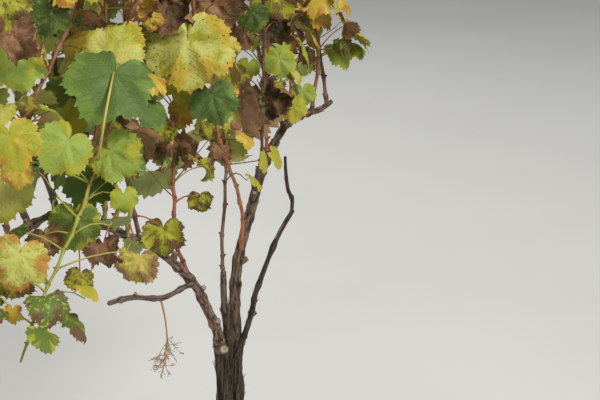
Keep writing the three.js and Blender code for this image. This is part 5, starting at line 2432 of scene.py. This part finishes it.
@dataclass
class PruningStubs:
    """The stubs that earlier years' cuts have left along the arms."""

    sides: int = 12
    foot_swell: float = 1.45
    rim: float = 0.2
    dish: float = 0.1
    roughness: tuple[tuple[float, float], ...] = ((420.0, 0.16), (150.0, 0.2))

    def stub(self, plan: StubPlan, limb: Limb, bm: bmesh.types.BMesh) -> None:
        """Stands one stub on its limb: a swollen foot, rough bark and an open cut across the wood.

        Args:
            plan: The stub's plan.
            limb: The limb that it stands on.
            bm: The stubs made so far.
        """
        ring, grain = bm.verts.layers.float["ring"], bm.verts.layers.float_vector["grain"]
        foot, way = limb.curve.at(plan.share), Vector(plan.way).normalized()
        turn = way.to_track_quat("Z", "Y").to_matrix().to_4x4()
        pose = Matrix.Translation(Vector(foot) + way * plan.length / 2) @ turn
        made = bmesh.ops.create_cone(
            bm, cap_ends=True, cap_tris=False, segments=self.sides, depth=plan.length,
            radius1=plan.radius * self.foot_swell, radius2=plan.radius, matrix=pose)
        sides = list(dict.fromkeys(edge for vert in made["verts"] for edge in vert.link_edges
                                   if all(len(face.verts) == 4 for face in edge.link_faces)))
        bmesh.ops.subdivide_edges(bm, edges=sides, cuts=3, use_grid_fill=False)
        caps = [face for face in bm.faces
                if len(face.verts) == self.sides and not any(vert[ring] for vert in face.verts)]
        top = max(caps, key=lambda face: face.calc_center_median().dot(way))
        bmesh.ops.inset_region(bm, faces=[top], thickness=plan.radius * self.rim,
                               depth=-plan.radius * self.dish)
        poked = bmesh.ops.poke(bm, faces=[top])
        back = pose.inverted()
        for vert in [vert for vert in bm.verts if not vert[ring]]:
            local = back @ vert.co
            out = math.hypot(local.x, local.y) / plan.radius
            vert[ring], vert[grain] = min(max(out, 0.001), 1.0), local
            rough = sum(noise.noise(vert.co * scale) * height for scale, height in self.roughness)
            vert.co += pose.to_3x3() @ Vector((local.x, local.y, 0.0)) * rough
        for face in poked["faces"]:
            face.material_index = 1

    def build(self, limbs: list[Limb]) -> Piece:
        """Cuts every stub and joins them.

        Args:
            limbs: The limbs that they stand on.

        Returns:
            The piece.
        """
        bm = bmesh.new()
        bm.verts.layers.float.new("ring")
        bm.verts.layers.float_vector.new("grain")
        by_name = {limb.plan.name: limb for limb in limbs}
        for plan in STUBS:
            self.stub(plan, by_name[plan.limb], bm)
        bmesh.ops.triangulate(bm, faces=bm.faces[:])
        mesh = mesh_of(bm, "pruning_stubs")
        mesh.shade_smooth()
        for finish in (BARKS[Bark.ARM], CUT):
            mesh.materials.append(finish.material())
        return placed(mesh, "arm_bark")


@dataclass(frozen=True)
class Softbox:
    """One large soft light: where it hangs, how wide it is and how strong."""

    name: str
    place: Place
    size: float
    power: float


@dataclass
class Stage:
    """The pale floor, the soft light and the camera at the photograph's angle."""

    lens: float = 85.0
    sensor: float = 36.0
    place: Place = (-2.147, -1.401, 1.580)
    azimuth: float = -60.0
    pitch: float = 17.9
    lit: Place = (-0.15, 0.0, 0.95)
    softboxes: tuple[Softbox, ...] = (
        Softbox("key_light", (-1.2, -4.2, 4.8), 2.0, 300.0),
        Softbox("fill_light", (-4.2, 1.4, 2.6), 2.6, 45.0),
        Softbox("back_light", (2.6, 3.4, 4.2), 2.6, 120.0))
    floor_size: float = 30.0
    floor_drop: float = 0.0005
    sky: str = "#dfe3e6"
    sky_strength: float = 0.46

    def build(self) -> None:
        """Sets the floor, the lights and the camera."""
        self.floor()
        for plan in self.softboxes:
            self.softbox(plan)
        self.surroundings()
        self.camera()

    def camera(self) -> None:
        """Stands the camera where the photograph was taken from."""
        data = bpy.data.cameras.new("camera")
        data.lens, data.sensor_width = self.lens, self.sensor
        data.clip_start, data.clip_end = 0.05, 100.0
        camera = bpy.data.objects.new("camera", data)
        camera.location = self.place
        camera.rotation_euler = (math.radians(90 - self.pitch), 0.0, math.radians(self.azimuth))
        bpy.context.scene.collection.objects.link(camera)
        bpy.context.scene.camera = camera

    def floor(self) -> None:
        """Lays the pale floor."""
        bm = bmesh.new()
        bmesh.ops.create_grid(bm, x_segments=2, y_segments=2, size=self.floor_size)
        bmesh.ops.translate(bm, vec=(0.0, 0.0, -self.floor_drop), verts=bm.verts[:])
        floor = bpy.data.objects.new("floor", mesh_of(bm, "floor"))
        bpy.context.scene.collection.objects.link(floor)
        material, board, shader = new_material("pale_floor")
        colour = board.blend(board.noise(board.place(), 1.4, 4.0), "#c9c7c1", "#d3d1cb")
        board.fill(shader, {"Base Color": colour, "Roughness": 0.95})
        floor.data.materials.append(material)

    def surroundings(self) -> None:
        """Sets the pale sky that lights the vine from all round."""
        world = bpy.data.worlds.new("overcast")
        world.use_nodes = True
        background = world.node_tree.nodes["Background"]
        background.inputs["Color"].default_value = linear(self.sky)
        background.inputs["Strength"].default_value = self.sky_strength
        bpy.context.scene.world = world
        bpy.context.scene.view_settings.view_transform = "Standard"

    def softbox(self, plan: Softbox) -> None:
        """Hangs one large soft light, aimed at the crown.

        Args:
            plan: Its name, place, size and power.
        """
        data = bpy.data.lights.new(plan.name, "AREA")
        data.shape, data.size, data.energy = "DISK", plan.size, plan.power
        light = bpy.data.objects.new(plan.name, data)
        light.location = plan.place
        aim = Vector(self.lit) - Vector(plan.place)
        light.rotation_euler = aim.to_track_quat("-Z", "Y").to_euler()
        bpy.context.scene.collection.objects.link(light)


def main() -> None:
    """Builds the vine from the ground up and reports each piece."""
    logging.basicConfig(level=logging.INFO, format="%(name)s: %(message)s")
    Stage().build()
    trunk = Trunk()
    limbs = [Limb(plan, number) for number, plan in enumerate(LIMBS)]
    canes = [Cane(plan, number) for number, plan in enumerate(SHOOTS)]
    for part in [trunk, *limbs, *canes]:
        report(part.build())
    wood = [limb.line for limb in limbs] + trunk.lines
    crown = Crown(canes, [(line[::6], radii[::6]) for line, radii in wood])
    log.info("%d leaves and %d side twigs", len(crown.leaves), len(crown.side_twigs))
    for piece in [*Leaves(crown).build(), *Stalks(crown).build()]:
        report(piece)
    low_cane = next(limb for limb in limbs if limb.plan.name == "low_cane")
    report(BunchStalk().build(low_cane.curve))
    report(BarkShreds().build(trunk, limbs))
    report(PruningStubs().build(limbs))
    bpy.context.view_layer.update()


if __name__ == "__main__":
    main()
